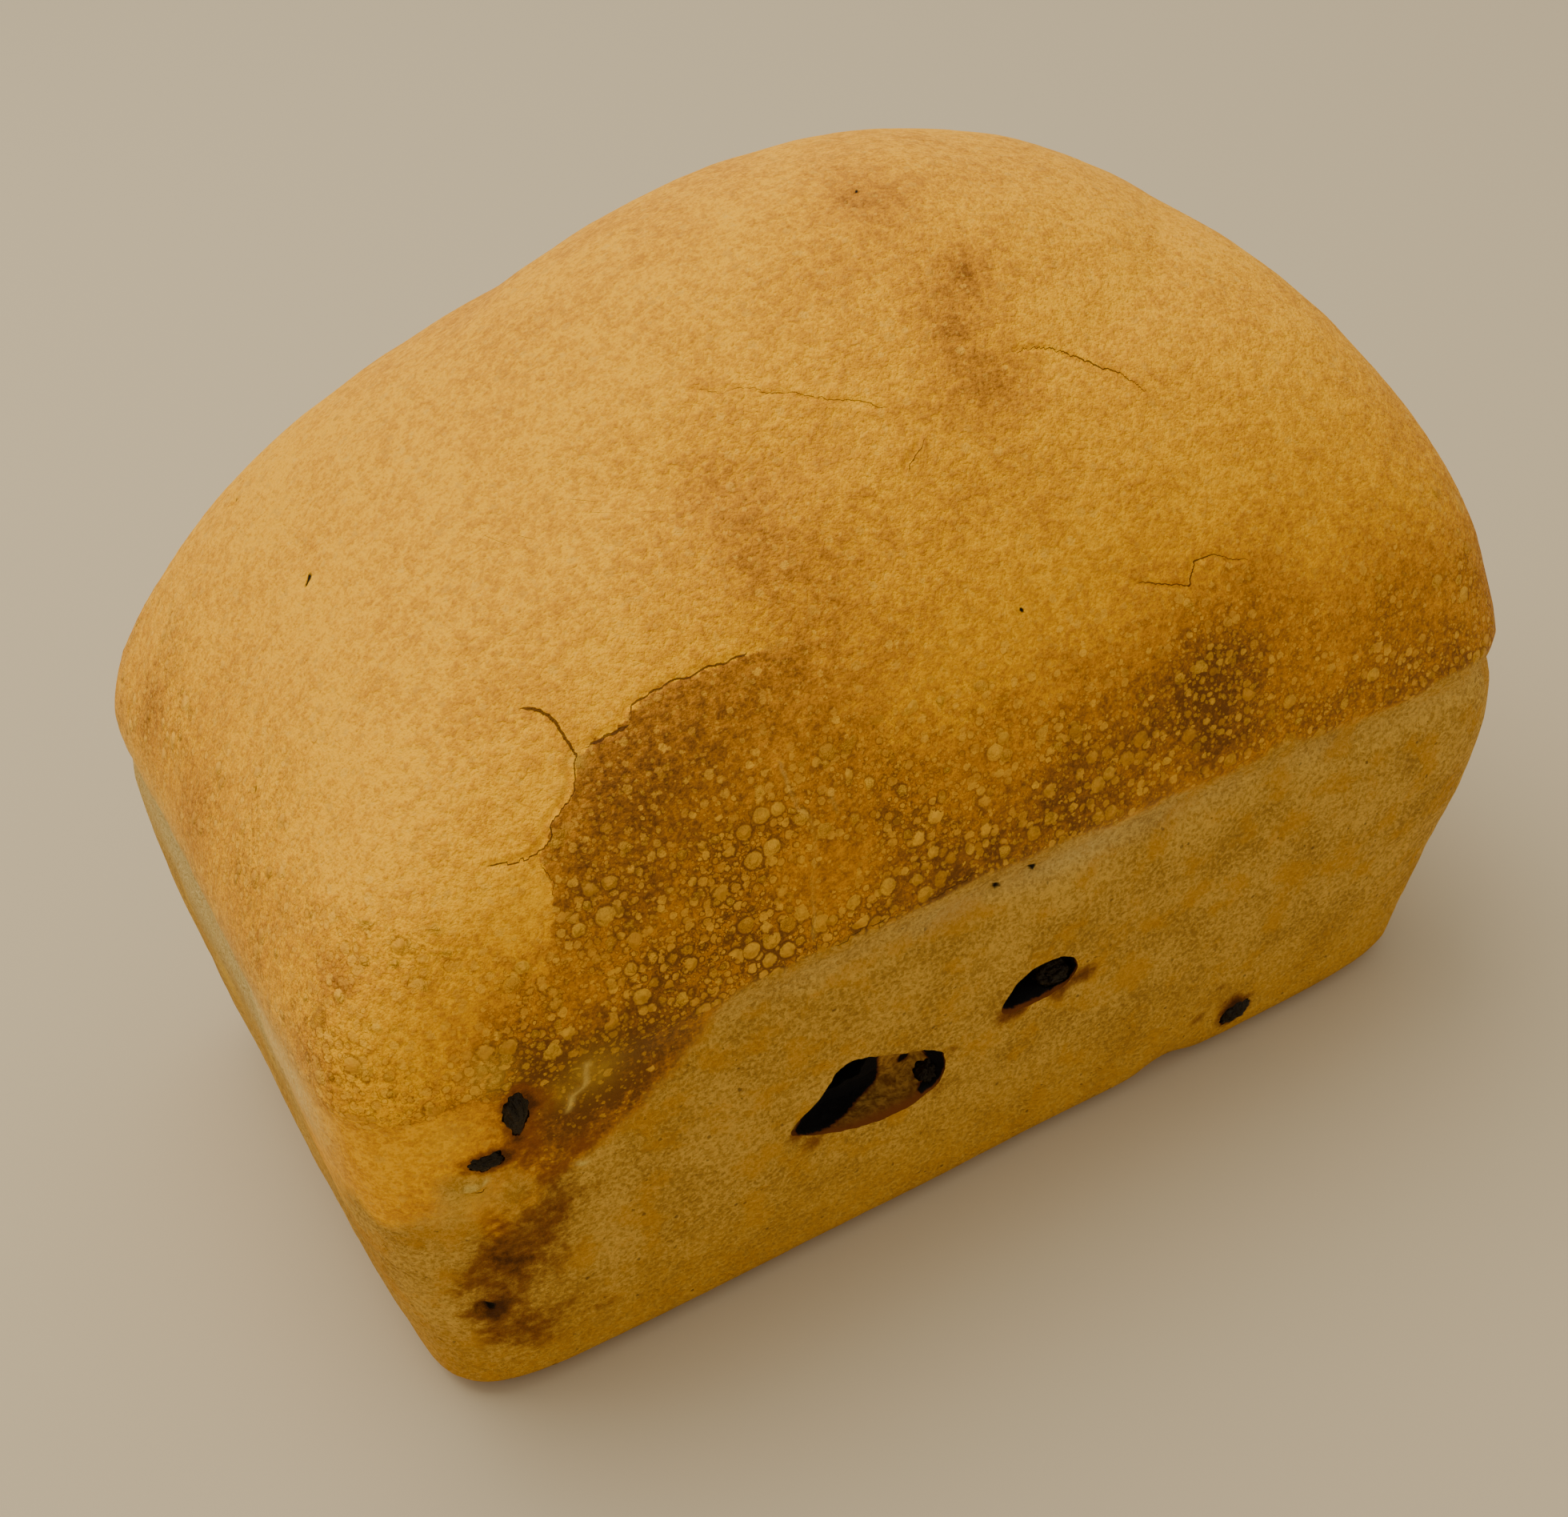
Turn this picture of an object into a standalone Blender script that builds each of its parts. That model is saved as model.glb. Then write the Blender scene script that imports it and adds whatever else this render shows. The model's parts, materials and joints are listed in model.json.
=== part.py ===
"""A small fruit loaf, baked in a tin, with raisins that broke through its crust.

The loaf is one solid. It starts as a cube whose faces are cut into a grid, and each corner of
that grid is then carried onto the loaf: walls that the tin held, and a crown above them. The
torn hollow, the smaller hole and a pocket for each raisin are cut out of it.

X runs along the loaf, -Y is the long side with the torn hollow, Z is up, and the base is z = 0.
"""

import math

import bmesh
import bpy
import numpy as np
from mathutils import Euler, Matrix, Vector, noise

# The walls, in metres
LENGTH = 0.155            # along X at the rim of the tin
WIDTH = 0.0938            # along Y at the rim of the tin
RIM_HEIGHT = 0.0552       # how high the tin held the dough
BASE_SHARE = 0.883        # width of the base as a share of WIDTH
BASE_EDGE = 0.004         # radius of the bottom edge
WALL_BULGE = 0.022        # swell of the walls at half height, as a share of the half length
WALL_SQUARENESS = 11.0    # power of the outline: 2 is an ellipse, more is squarer
RIM_TILT = -0.0104        # slope of the rim line along X
GROOVE_DEPTH = 0.0007     # shallow groove under the rim line
GROOVE_DROP = 0.0040
GROOVE_WIDTH = 0.0026

# The crown above the rim
CROWN_HEIGHT = 0.0603
CROWN_SQUARENESS = 2.2
CROWN_LONG = (1.765, 1.696)         # powers of the crown's profile along X
CROWN_CROSS = (2.129, 1.943)        # and along Y
CROWN_TUCK = -0.02                  # pinch of the long sides just above the rim
CROWN_LEAN = (0.0096, 0.0036)       # the top sits to the right of the middle, and behind it
CROWN_TILT = (0.089, 0.029, 0.042)  # rise along X, at both ends, and along Y

# Shares of the climb from the base to the top of the crown
EDGE_SHARE = 0.04
RIM_SHARE = 0.42
CAP_SHARE = 0.66          # where the cube's sides end and its top begins

# Uneven places: centre, radius, and height along the surface's normal
SWELLS = (
    ((0.072, -0.0435, 0.040), 0.022, 0.0022),     # right end of the long side, low
    ((0.058, -0.0150, 0.092), 0.036, 0.0016),     # right side of the crown
    ((0.026, 0.0050, 0.115), 0.020, -0.0008),     # right of the top
    ((-0.028, 0.0180, 0.103), 0.022, 0.0007),     # back of the crown
    ((-0.069, 0.0300, 0.074), 0.024, -0.0011),    # back of the left end
    ((0.0285, -0.0415, 0.000), 0.0045, -0.0016),  # notch in the bottom edge
)
CRUST_WAVE = 0.0005
CRUST_WAVE_SIZE = 0.020

# The grid on the cube
GRID_CUTS = (27, 17, 18)

# Blisters of the crust
BLISTER_SEED = 7
BLISTER_TRIES = 90
BLISTER_BAND = (0.43, 0.62)          # shares of the climb that they keep to
BLISTER_RADIUS = (0.0012, 0.0024)
BLISTER_HEIGHT = 0.28                # of their radius
BLISTER_SPACING = 0.0060
BLISTER_SIDES = 8

# The torn hollow in the long side, as X and Z on the wall, from its left tip over the top
TEAR_OUTLINE = (
    (-0.0290, 0.0262), (-0.0254, 0.0300), (-0.0215, 0.0342), (-0.0147, 0.0317),
    (-0.0084, 0.0282), (-0.0088, 0.0223), (-0.0136, 0.0205), (-0.0216, 0.0216),
)
TEAR_DEPTH = 0.0048
TEAR_SHIFT = (0.0010, -0.0020)
# Its dark left part runs deeper
PIT_OUTLINE = (
    (-0.0275, 0.0262), (-0.0240, 0.0296), (-0.0210, 0.0334), (-0.0172, 0.0325),
    (-0.0170, 0.0275), (-0.0205, 0.0250),
)
PIT_DEPTH = 0.0140
PIT_SHIFT = (0.0020, 0.0000)
# The smaller hole to the right of it
HOLE_OUTLINE = (
    (-0.0002, 0.0302), (0.0018, 0.0346), (0.0055, 0.0360), (0.0093, 0.0348),
    (0.0106, 0.0320), (0.0085, 0.0298), (0.0040, 0.0292),
)
HOLE_DEPTH = 0.0060
HOLE_SHIFT = (0.0015, -0.0015)
HOLLOW_SIDES = 20         # corners round a hollow
HOLLOW_STEPS = 4          # rings from its mouth to its end
HOLLOW_TAPER = 0.30       # share of its width that a hollow loses by its end
MOUTH_REACH = 0.003       # how far a cutter starts outside the wall

# Raisins that show: name, centre, half sizes along its own axes, and turn in degrees
RAISINS = (
    ("raisin_corner_upper", (-0.0602, -0.0447, 0.0506), (0.0017, 0.0022, 0.0037), (0, 6, 0)),
    ("raisin_corner_lower", (-0.0640, -0.0441, 0.0450), (0.0025, 0.0020, 0.0015), (0, 8, 12)),
    ("raisin_in_tear", (-0.0088, -0.0411, 0.0215), (0.0017, 0.0024, 0.0031), (0, 24, -12)),
    ("raisin_in_hole", (0.0089, -0.0421, 0.0304), (0.0031, 0.0025, 0.0022), (0, -10, 10)),
    ("raisin_at_base", (0.0387, -0.0411, 0.0066), (0.0030, 0.0020, 0.0015), (0, -25, 0)),
)
RAISIN_DETAIL = 3
RAISIN_WRINKLE = 0.12
GAP = 0.0003              # between a raisin and the crumb round it

CRUST_COLOUR = (0.62, 0.32, 0.07, 1.0)
CRUMB_COLOUR = (0.55, 0.30, 0.09, 1.0)
RAISIN_COLOUR = (0.018, 0.010, 0.008, 1.0)


def clear_scene():
    """Empties the file, so that only the loaf is in it."""
    for item in list(bpy.data.objects):
        bpy.data.objects.remove(item, do_unlink=True)


def new_collection(name):
    group = bpy.data.collections.new(name)
    bpy.context.scene.collection.children.link(group)
    return group


def new_material(name, colour, roughness):
    material = bpy.data.materials.new(name)
    material.use_nodes = True
    shader = material.node_tree.nodes["Principled BSDF"]
    shader.inputs["Base Color"].default_value = colour
    shader.inputs["Roughness"].default_value = roughness
    shader.inputs["Metallic"].default_value = 0.0
    material.diffuse_color = colour
    return material


def outline(u, v, power):
    """Carries points of a square of half side 1 onto a rounded rectangle of half side 1."""
    reach = (np.abs(u) ** power + np.abs(v) ** power) ** (-1.0 / power)
    return u * reach, v * reach


def loaf_points(cube):
    """Carries points of the cube's surface, one a row, onto the loaf without its relief."""
    spread = np.maximum(np.abs(cube[:, 0]), np.abs(cube[:, 1]))
    spread = np.maximum(spread, 1e-6)
    u = cube[:, 0] / spread
    v = cube[:, 1] / spread
    climb = CAP_SHARE * (cube[:, 2] + 1) / 2 + (1 - CAP_SHARE) * (1 - spread) * (cube[:, 2] > 0.999)
    half_long = LENGTH / 2
    half_wide = WIDTH / 2

    # The wall, with its rounded bottom edge
    turn = np.clip(climb / EDGE_SHARE, 0, 1) * math.pi / 2
    up_wall = np.clip((climb - EDGE_SHARE) / (RIM_SHARE - EDGE_SHARE), 0, 1)
    wall_z = BASE_EDGE * (1 - np.cos(turn)) + (RIM_HEIGHT - BASE_EDGE) * up_wall
    rise = wall_z / RIM_HEIGHT
    inset = half_wide * (1 - BASE_SHARE) * (1 - rise) + BASE_EDGE * (1 - np.sin(turn))
    bulge = WALL_BULGE * half_long * 4 * rise * (1 - rise)
    below = RIM_HEIGHT - GROOVE_DROP - wall_z
    groove = GROOVE_DEPTH * np.exp(-((below / GROOVE_WIDTH) ** 2))

    # The crown: at its foot both factors are 1, and at its top both are 0
    up_crown = np.sin(np.clip((climb - RIM_SHARE) / (1 - RIM_SHARE), 0, 1) * math.pi / 2)
    blend = up_crown**20
    long_root = CROWN_LONG[1] * (1 - blend) + 2 * blend
    cross_root = CROWN_CROSS[1] * (1 - blend) + 2 * blend
    factor_x = np.maximum(1 - up_crown ** CROWN_LONG[0], 0) ** (1 / long_root)
    factor_y = np.maximum(1 - up_crown ** CROWN_CROSS[0], 0) ** (1 / cross_root)
    tuck = CROWN_TUCK * 4 * up_crown * np.exp(1 - 4 * up_crown) * (1 - up_crown)

    squareness = WALL_SQUARENESS + (CROWN_SQUARENESS - WALL_SQUARENESS) * np.minimum(1, 1.3 * up_crown)
    out_x, out_y = outline(u, v, squareness)
    x = out_x * (half_long - inset + bulge - groove) * factor_x
    y = out_y * (half_wide - inset + bulge * 0.3 - groove) * factor_y
    y = y + out_y * half_wide * tuck * out_y**2
    x = x + CROWN_LEAN[0] * up_crown**2
    y = y + CROWN_LEAN[1] * up_crown**2

    # The crown is higher on the right and at the back, and the rim line falls to the right
    along = x / half_long
    across = y / half_wide
    slant = CROWN_TILT[0] * along + CROWN_TILT[1] * (along**2 - 0.3) + CROWN_TILT[2] * across
    z = wall_z + CROWN_HEIGHT * up_crown * (1 + slant)
    near_rim = np.clip(z / RIM_HEIGHT, 0, 1) * np.clip((1.8 * RIM_HEIGHT - z) / (0.8 * RIM_HEIGHT), 0, 1)
    z = z + near_rim * RIM_TILT * x

    # The base is flat, and the cube's bottom face is simply laid out on it
    flat = cube[:, 2] < -0.999
    x = np.where(flat, x * spread, x)
    y = np.where(flat, y * spread, y)
    return np.column_stack((x, y, z))


def cube_grid():
    """Makes a cube of half side 1 whose faces are a grid, but for its bottom, which is one face."""
    grid = bmesh.new()
    bmesh.ops.create_cube(grid, size=2.0)
    for axis, cuts in enumerate(GRID_CUTS):
        edges = []
        for edge in grid.edges:
            run = edge.verts[1].co - edge.verts[0].co
            if abs(run[axis]) > 1e-4:
                edges.append(edge)
        bmesh.ops.subdivide_edges(grid, edges=edges, cuts=cuts, use_grid_fill=True)
    bottom = [face for face in grid.faces if face.normal.z < -0.9]
    bmesh.ops.dissolve_faces(grid, faces=bottom, use_verts=False)
    return grid


def normals_of(grid):
    grid.normal_update()
    return np.array([vertex.normal for vertex in grid.verts])


def swells(points):
    """The height of the uneven places at each point."""
    height = np.zeros(len(points))
    for centre, radius, rise in SWELLS:
        gap = np.linalg.norm(points - np.array(centre), axis=1)
        height += rise * np.exp(-((gap / radius) ** 2) * 1.5)
    return height


def waves(points):
    """Low soft waves of the crust, none on the base."""
    height = np.array([noise.noise(Vector(point) / CRUST_WAVE_SIZE) for point in points])
    return CRUST_WAVE * height * np.clip(points[:, 2] / 0.01, 0, 1)


def set_points(grid, points):
    for vertex, point in zip(grid.verts, points):
        vertex.co = Vector(point)


def build_loaf(group, material):
    """The loaf before its hollows are cut."""
    grid = cube_grid()
    cube = np.array([vertex.co for vertex in grid.verts])
    points = loaf_points(cube)
    set_points(grid, points)
    bmesh.ops.recalc_face_normals(grid, faces=grid.faces)
    relief = swells(points) + waves(points)
    points = points + normals_of(grid) * relief[:, None]
    points[:, 2] = np.where(cube[:, 2] < -0.999, 0, np.maximum(points[:, 2], 0))
    middle = (points.min(axis=0) + points.max(axis=0)) / 2
    points[:, :2] -= middle[:2]
    set_points(grid, points)
    mesh = bpy.data.meshes.new("loaf")
    grid.to_mesh(mesh)
    grid.free()
    mesh.materials.append(material)
    mesh.shade_smooth()
    mesh.set_sharp_from_angle(angle=math.radians(50))
    loaf = bpy.data.objects.new("loaf", mesh)
    group.objects.link(loaf)
    return loaf


def band_spots(picker):
    """Random places on the cube's sides in the blistered band, most of them on its front."""
    climb = picker.uniform(*BLISTER_BAND, BLISTER_TRIES)
    side = picker.choice(4, BLISTER_TRIES, p=(0.5, 0.2, 0.15, 0.15))
    along = picker.uniform(-1, 1, BLISTER_TRIES)
    corners = ((along, -1), (-1, along), (1, along), (along, 1))
    u = np.choose(side, [pair[0] + 0 * along for pair in corners])
    v = np.choose(side, [pair[1] + 0 * along for pair in corners])
    return np.column_stack((u, v, 2 * climb / CAP_SHARE - 1))


def add_blisters(loaf, cutters, material):
    """Fuses round low bubbles to the crust, each lying flat on it."""
    picker = np.random.default_rng(BLISTER_SEED)
    bubbles = bmesh.new()
    placed = []
    for target in loaf_points(band_spots(picker)):
        found, spot, normal, _ = loaf.closest_point_on_mesh(Vector(target))
        if not found or any((spot - other).length < BLISTER_SPACING for other in placed):
            continue
        placed.append(spot)
        radius = picker.uniform(*BLISTER_RADIUS)
        turn = normal.to_track_quat("Z", "X").to_matrix().to_4x4()
        size = Matrix.Diagonal((radius, radius, radius * BLISTER_HEIGHT, 1.0))
        place = Matrix.Translation(spot) @ turn @ size
        bmesh.ops.create_uvsphere(
            bubbles, u_segments=BLISTER_SIDES, v_segments=4, radius=1.0, matrix=place
        )
    lumps = add_cutter("blisters", cutters, material, bubbles)
    combine(loaf, lumps, "UNION")


def wall_y(x, z):
    """The long side's Y at this X and Z, where the tin held it."""
    rise = z / RIM_HEIGHT
    half_long = LENGTH / 2
    half_wide = WIDTH / 2
    share = (1 - min(abs(x) / half_long, 1) ** WALL_SQUARENESS) ** (1 / WALL_SQUARENESS)
    bulge = WALL_BULGE * half_long * 4 * rise * (1 - rise)
    return -share * (half_wide - half_wide * (1 - BASE_SHARE) * (1 - rise) + bulge * 0.3)


def smooth_loop(corners, count):
    """Points at even steps of a closed smooth curve through the corners."""
    total = len(corners)
    loop = []
    for step in range(count):
        place = step * total / count
        start = int(place)
        t = place - start
        p0, p1, p2, p3 = (np.array(corners[(start + k) % total]) for k in (-1, 0, 1, 2))
        curve = 2 * p1 + (p2 - p0) * t + (2 * p0 - 5 * p1 + 4 * p2 - p3) * t**2
        curve = curve + (3 * p1 - p0 - 3 * p2 + p3) * t**3
        loop.append(curve / 2)
    return np.array(loop)


def hollow_cutter(name, group, material, corners, depth, shift):
    """A closed plug that runs in from an outline on the wall and narrows to a round end."""
    loop = smooth_loop(corners, HOLLOW_SIDES)
    middle = loop.mean(axis=0)
    plug = bmesh.new()
    rings = []
    for step in range(-1, HOLLOW_STEPS + 1):
        reach = max(step, 0) / HOLLOW_STEPS
        size = 1 - HOLLOW_TAPER * reach**2
        sink = reach * depth if step >= 0 else -MOUTH_REACH
        ring = []
        for x, z in loop:
            px = middle[0] + (x - middle[0]) * size + shift[0] * reach
            pz = middle[1] + (z - middle[1]) * size + shift[1] * reach
            ring.append(plug.verts.new((px, wall_y(x, z) + sink, pz)))
        rings.append(ring)
    for ring, after in zip(rings, rings[1:]):
        for k in range(HOLLOW_SIDES):
            j = (k + 1) % HOLLOW_SIDES
            plug.faces.new((ring[k], ring[j], after[j], after[k]))
    plug.faces.new(rings[0])
    plug.faces.new(list(reversed(rings[-1])))
    bmesh.ops.recalc_face_normals(plug, faces=plug.faces)
    return add_cutter(name, group, material, plug)


def raisin_shape(centre, halves, turn, seed, grow):
    """A wrinkled oval, grown by a margin along each of its axes."""
    shape = bmesh.new()
    bmesh.ops.create_icosphere(shape, subdivisions=RAISIN_DETAIL, radius=1.0)
    spin = Euler([math.radians(angle) for angle in turn]).to_matrix()
    for vertex in shape.verts:
        ridge = 1 - 2 * abs(noise.noise(vertex.co * 1.7 + Vector((seed, 0, 0))))
        length = 1 - RAISIN_WRINKLE * ridge
        local = Vector([vertex.co[k] * (halves[k] * length + grow) for k in range(3)])
        vertex.co = Vector(centre) + spin @ local
    return shape


def add_cutter(name, group, material, shape):
    mesh = bpy.data.meshes.new(name)
    shape.to_mesh(mesh)
    shape.free()
    mesh.materials.append(material)
    cutter = bpy.data.objects.new(name, mesh)
    cutter.hide_render = True
    cutter.display_type = "WIRE"
    group.objects.link(cutter)
    return cutter


def combine(target, tool, operation):
    """Takes the tool's shape out of the target, or fuses it on, for good."""
    step = target.modifiers.new(tool.name, "BOOLEAN")
    step.operation = operation
    step.solver = "EXACT"
    step.object = tool
    bpy.context.view_layer.objects.active = target
    bpy.ops.object.modifier_apply(modifier=step.name)


def build_raisins(group, cutters, loaf, skin, crumb):
    """Each raisin is a solid of its own, in a pocket that leaves a gap all round it."""
    for seed, (name, centre, halves, turn) in enumerate(RAISINS):
        pocket = raisin_shape(centre, halves, turn, seed * 5.0, GAP)
        combine(loaf, add_cutter(name + "_pocket", cutters, crumb, pocket), "DIFFERENCE")
        shape = raisin_shape(centre, halves, turn, seed * 5.0, 0.0)
        mesh = bpy.data.meshes.new(name)
        shape.to_mesh(mesh)
        shape.free()
        mesh.materials.append(skin)
        mesh.shade_smooth()
        group.objects.link(bpy.data.objects.new(name, mesh))


def main():
    clear_scene()
    group = new_collection("fruit_loaf")
    cutters = new_collection("cutters")
    crust = new_material("crust", CRUST_COLOUR, 0.75)
    crumb = new_material("crumb", CRUMB_COLOUR, 0.90)
    skin = new_material("raisin_skin", RAISIN_COLOUR, 0.35)

    loaf = build_loaf(group, crust)
    add_blisters(loaf, cutters, crust)
    hollows = (
        ("tear", TEAR_OUTLINE, TEAR_DEPTH, TEAR_SHIFT),
        ("pit", PIT_OUTLINE, PIT_DEPTH, PIT_SHIFT),
        ("hole", HOLE_OUTLINE, HOLE_DEPTH, HOLE_SHIFT),
    )
    for name, corners, depth, shift in hollows:
        plug = hollow_cutter(name, cutters, crumb, corners, depth, shift)
        combine(loaf, plug, "DIFFERENCE")
    build_raisins(group, cutters, loaf, skin, crumb)


main()
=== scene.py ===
"""The looks of a small fruit loaf on a plain pale floor.

The bread is the same loft as the solid it replaces, cut much finer where the crust is cracked
or blistered. Its relief is moved in the mesh, and masks stored on the mesh's points say where
the crust is browned, blistered, cracked or stained, and where shade and a highlight are painted.
The material turns those into colour.
"""

import json
import math

import bmesh
import bpy
import numpy as np
from mathutils import Euler, Matrix, Vector, noise
from mathutils.bvhtree import BVHTree

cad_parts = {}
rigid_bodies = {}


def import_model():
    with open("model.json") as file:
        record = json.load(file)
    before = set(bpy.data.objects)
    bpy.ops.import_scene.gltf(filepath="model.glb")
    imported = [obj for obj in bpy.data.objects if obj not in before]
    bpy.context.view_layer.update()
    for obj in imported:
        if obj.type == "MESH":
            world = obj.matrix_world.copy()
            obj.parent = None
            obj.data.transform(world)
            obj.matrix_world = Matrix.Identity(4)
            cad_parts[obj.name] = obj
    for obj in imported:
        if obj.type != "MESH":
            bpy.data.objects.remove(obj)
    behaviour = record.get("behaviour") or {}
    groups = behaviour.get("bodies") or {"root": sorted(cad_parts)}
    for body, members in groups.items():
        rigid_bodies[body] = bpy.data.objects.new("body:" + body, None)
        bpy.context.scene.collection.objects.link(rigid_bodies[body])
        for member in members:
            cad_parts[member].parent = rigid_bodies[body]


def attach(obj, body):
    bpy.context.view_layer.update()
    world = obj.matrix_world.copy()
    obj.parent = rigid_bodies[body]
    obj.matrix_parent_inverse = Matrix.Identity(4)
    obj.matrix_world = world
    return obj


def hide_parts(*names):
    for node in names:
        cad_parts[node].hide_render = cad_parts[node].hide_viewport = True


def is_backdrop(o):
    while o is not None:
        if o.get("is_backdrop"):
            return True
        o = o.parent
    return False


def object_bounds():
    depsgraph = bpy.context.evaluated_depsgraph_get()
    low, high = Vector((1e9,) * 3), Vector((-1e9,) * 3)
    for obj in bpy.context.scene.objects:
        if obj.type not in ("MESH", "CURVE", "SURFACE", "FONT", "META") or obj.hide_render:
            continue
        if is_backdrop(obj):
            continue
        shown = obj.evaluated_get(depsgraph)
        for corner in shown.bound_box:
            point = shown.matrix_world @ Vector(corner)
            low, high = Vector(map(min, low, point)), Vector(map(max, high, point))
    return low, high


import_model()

CAD_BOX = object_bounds()
MM = 0.001

# The camera, solved from the loaf's outline, rim line and bottom edge in the photograph
PHOTO_SIZE = (1960, 1896)
FOCAL_PIXELS = 2600.0
VIEW_AZIMUTH = 26.585
VIEW_ELEVATION = 38.178
VIEW_ROLL = -4.995
VIEW_AIM = (0.0, 0.0, 0.05)
VIEW_DISTANCE = 0.2648
VIEW_SLIDE = (-0.0024, -0.0084)
SENSOR_WIDTH = 36.0

# The loaf's walls
LENGTH = 0.155
WIDTH = 0.0938
RIM_HEIGHT = 0.0552
BASE_SHARE = 0.883
BASE_EDGE = 0.004
WALL_BULGE = 0.022
WALL_SQUARENESS = 11.0
RIM_TILT = -0.0104
GROOVE_DEPTH = 0.0007
GROOVE_DROP = 0.0040
GROOVE_WIDTH = 0.0026

# Its crown
CROWN_HEIGHT = 0.0603
CROWN_SQUARENESS = 2.2
CROWN_LONG = (1.765, 1.696)
CROWN_CROSS = (2.129, 1.943)
CROWN_TUCK = -0.02
CROWN_LEAN = (0.0096, 0.0036)
CROWN_TILT = (0.089, 0.029, 0.042)
EDGE_SHARE = 0.04
RIM_SHARE = 0.42
CAP_SHARE = 0.66

# Uneven places: centre, radius, and height along the surface's normal
SWELLS = (
    ((0.072, -0.0435, 0.040), 0.022, 0.0022),
    ((0.058, -0.0150, 0.092), 0.036, 0.0016),
    ((0.026, 0.0050, 0.115), 0.020, -0.0008),
    ((-0.028, 0.0180, 0.103), 0.022, 0.0007),
    ((-0.069, 0.0300, 0.074), 0.024, -0.0011),
    ((0.0285, -0.0415, 0.000), 0.0045, -0.0016),
)

# Noises, each with the strength, size and seed of its parts. Heights and sizes are in metres.
CRUST_WAVES = ((0.00050, 0.0200, 0.0), (0.00016, 0.0062, 3.0))
CREASES = ((0.00007, 0.0021, 9.0),)
CREASE_STRETCH = (1.6, 1.6, 0.8)
BLISTER_LUMPS = ((0.00030, 0.0020, 12.0),)
CLUMP_WAVES = ((0.75, 0.009, 4.0),)
BAND_WAVES = ((0.50, 0.017, 6.0), (0.25, 0.006, 7.0))
RIM_WAVES = ((1.2, 0.010, 13.0),)
PLAIN_WAVES = ((0.08, 0.022, 8.0),)
PALE_WAVES = ((0.30, 0.008, 3.0),)
RAGGED_WAVES = ((0.009, 0.011, 2.0), (0.004, 0.004, 5.0))
MOTTLE_WAVES = ((0.30, 0.0080, 15.0), (0.16, 0.0036, 16.0))
BLOTCH_WAVES = ((0.30, 0.0046, 17.0), (0.16, 0.0020, 18.0))
HOLLOW_ROUGH = ((0.00030, 0.0016, 5.0), (0.00014, 0.0006, 8.0))

# Parts of the loaf, as the X, Y or Z where the part starts and where it is whole
NEAR_CORNER_X = (-0.034, -0.056)
NEAR_CORNER_Y = (-0.010, -0.026)
LEFT_PART = (-0.040, -0.060)
LEFT_END_X = (-0.066, -0.072)
LEFT_END_Y = (-0.036, -0.024)
FOLD_PART = (-0.064, -0.056)
FRONT_PART = (-0.010, -0.030)
RIGHT_PART = (0.0, 0.070)
CROWN_FOOT = (0.105, 0.065)
# Where the left end is painted lighter, as a highlight where the light falls on it
LIT_END_X = (-0.056, -0.074)
LIT_END_Y = (-0.040, -0.030)
LIT_END_BACK = (0.020, 0.050)

# How brown these places are, from 0 to about 1
BAND_BROWN = 0.33
RIM_BROWN = 0.24
FOLD_BROWN = 0.30
LEFT_END_BROWN = 0.07
RIGHT_BROWN = 0.05
PLAIN_BROWN = 0.03
LEFT_PALER = 0.07

# The mesh: cuts of the cube along X, Y and Z, then finer by halves where detail is
GRID_CUTS = (71, 43, 43)
BAND = (0.052, 0.084)       # heights between which the crust is blistered
SEEN = (-0.050, -0.012)     # the camera sees what is left of this X or in front of this Y
HIGH_CROWN = 0.085
FRONT_WALL = -0.030
OFF_THE_BASE = 0.003
FINE_ROUND_CRACKS = 0.0009
HALF_FINE_ROUND_CRACKS = 2.2 * FINE_ROUND_CRACKS
FINE_ROUND_FRUIT = 0.0055

# Cracks, as pixels of the photograph, each with its half width in millimetres. Their dark lines are painted
# shade.
# Lines of one group stay clear of each other, so that each point has one nearest line.
CRACKS = (
    ("a", 0.18, (
        (643, 884), (668, 887), (686, 893), (700, 912), (716, 934), (720, 944), (718, 965),
        (718, 988), (706, 1006), (690, 1024), (687, 1034), (690, 1042), (680, 1058), (672, 1066),
        (655, 1073), (600, 1084),
    )),
    ("a", 0.06, ((1158, 538), (1152, 560), (1138, 580), (1134, 600))),
    ("a", 0.09, (
        (1262, 442), (1280, 434), (1310, 434), (1345, 446), (1372, 458), (1398, 466), (1440, 497),
    )),
    ("a", 0.09, (
        (1415, 730), (1450, 731), (1488, 733), (1490, 716), (1492, 700), (1515, 693), (1535, 697),
        (1565, 700),
    )),
    ("a", 0.05, ((474, 648), (474, 672), (474, 685))),
    ("b", 0.27, ((726, 936), (752, 922), (771, 912), (792, 905))),
    ("a", 0.12, (
        (790, 903), (786, 892), (792, 879), (806, 872), (822, 862), (836, 852), (862, 846),
        (880, 834), (904, 830), (920, 820), (942, 815),
    )),
    ("b", 0.08, ((671, 1072), (682, 1088), (692, 1104), (692, 1134))),
    ("b", 0.04, (
        (860, 485), (890, 489), (905, 492), (930, 484), (960, 490), (1000, 492), (1040, 500),
        (1080, 503), (1120, 512),
    )),
    ("a", 0.06, ((934, 462), (931, 475), (945, 482))),
    ("a", 0.12, ((1160, 1128), (1200, 1104), (1232, 1090))),
    ("b", 0.07, ((1030, 1188), (1080, 1162), (1120, 1142))),
    # Painted shadow under the torn flake
    ("b", 0.10, ((580, 1500), (588, 1494), (602, 1491), (617, 1481))),
)
CRACK_STEP = 7.0            # pixels between the points of a crack
CRACK_JITTER = 1.8
CRACK_BEND = 9.0            # pixels between its bends
CRACK_END = 1.3             # millimetres over which a crack thins out
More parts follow.
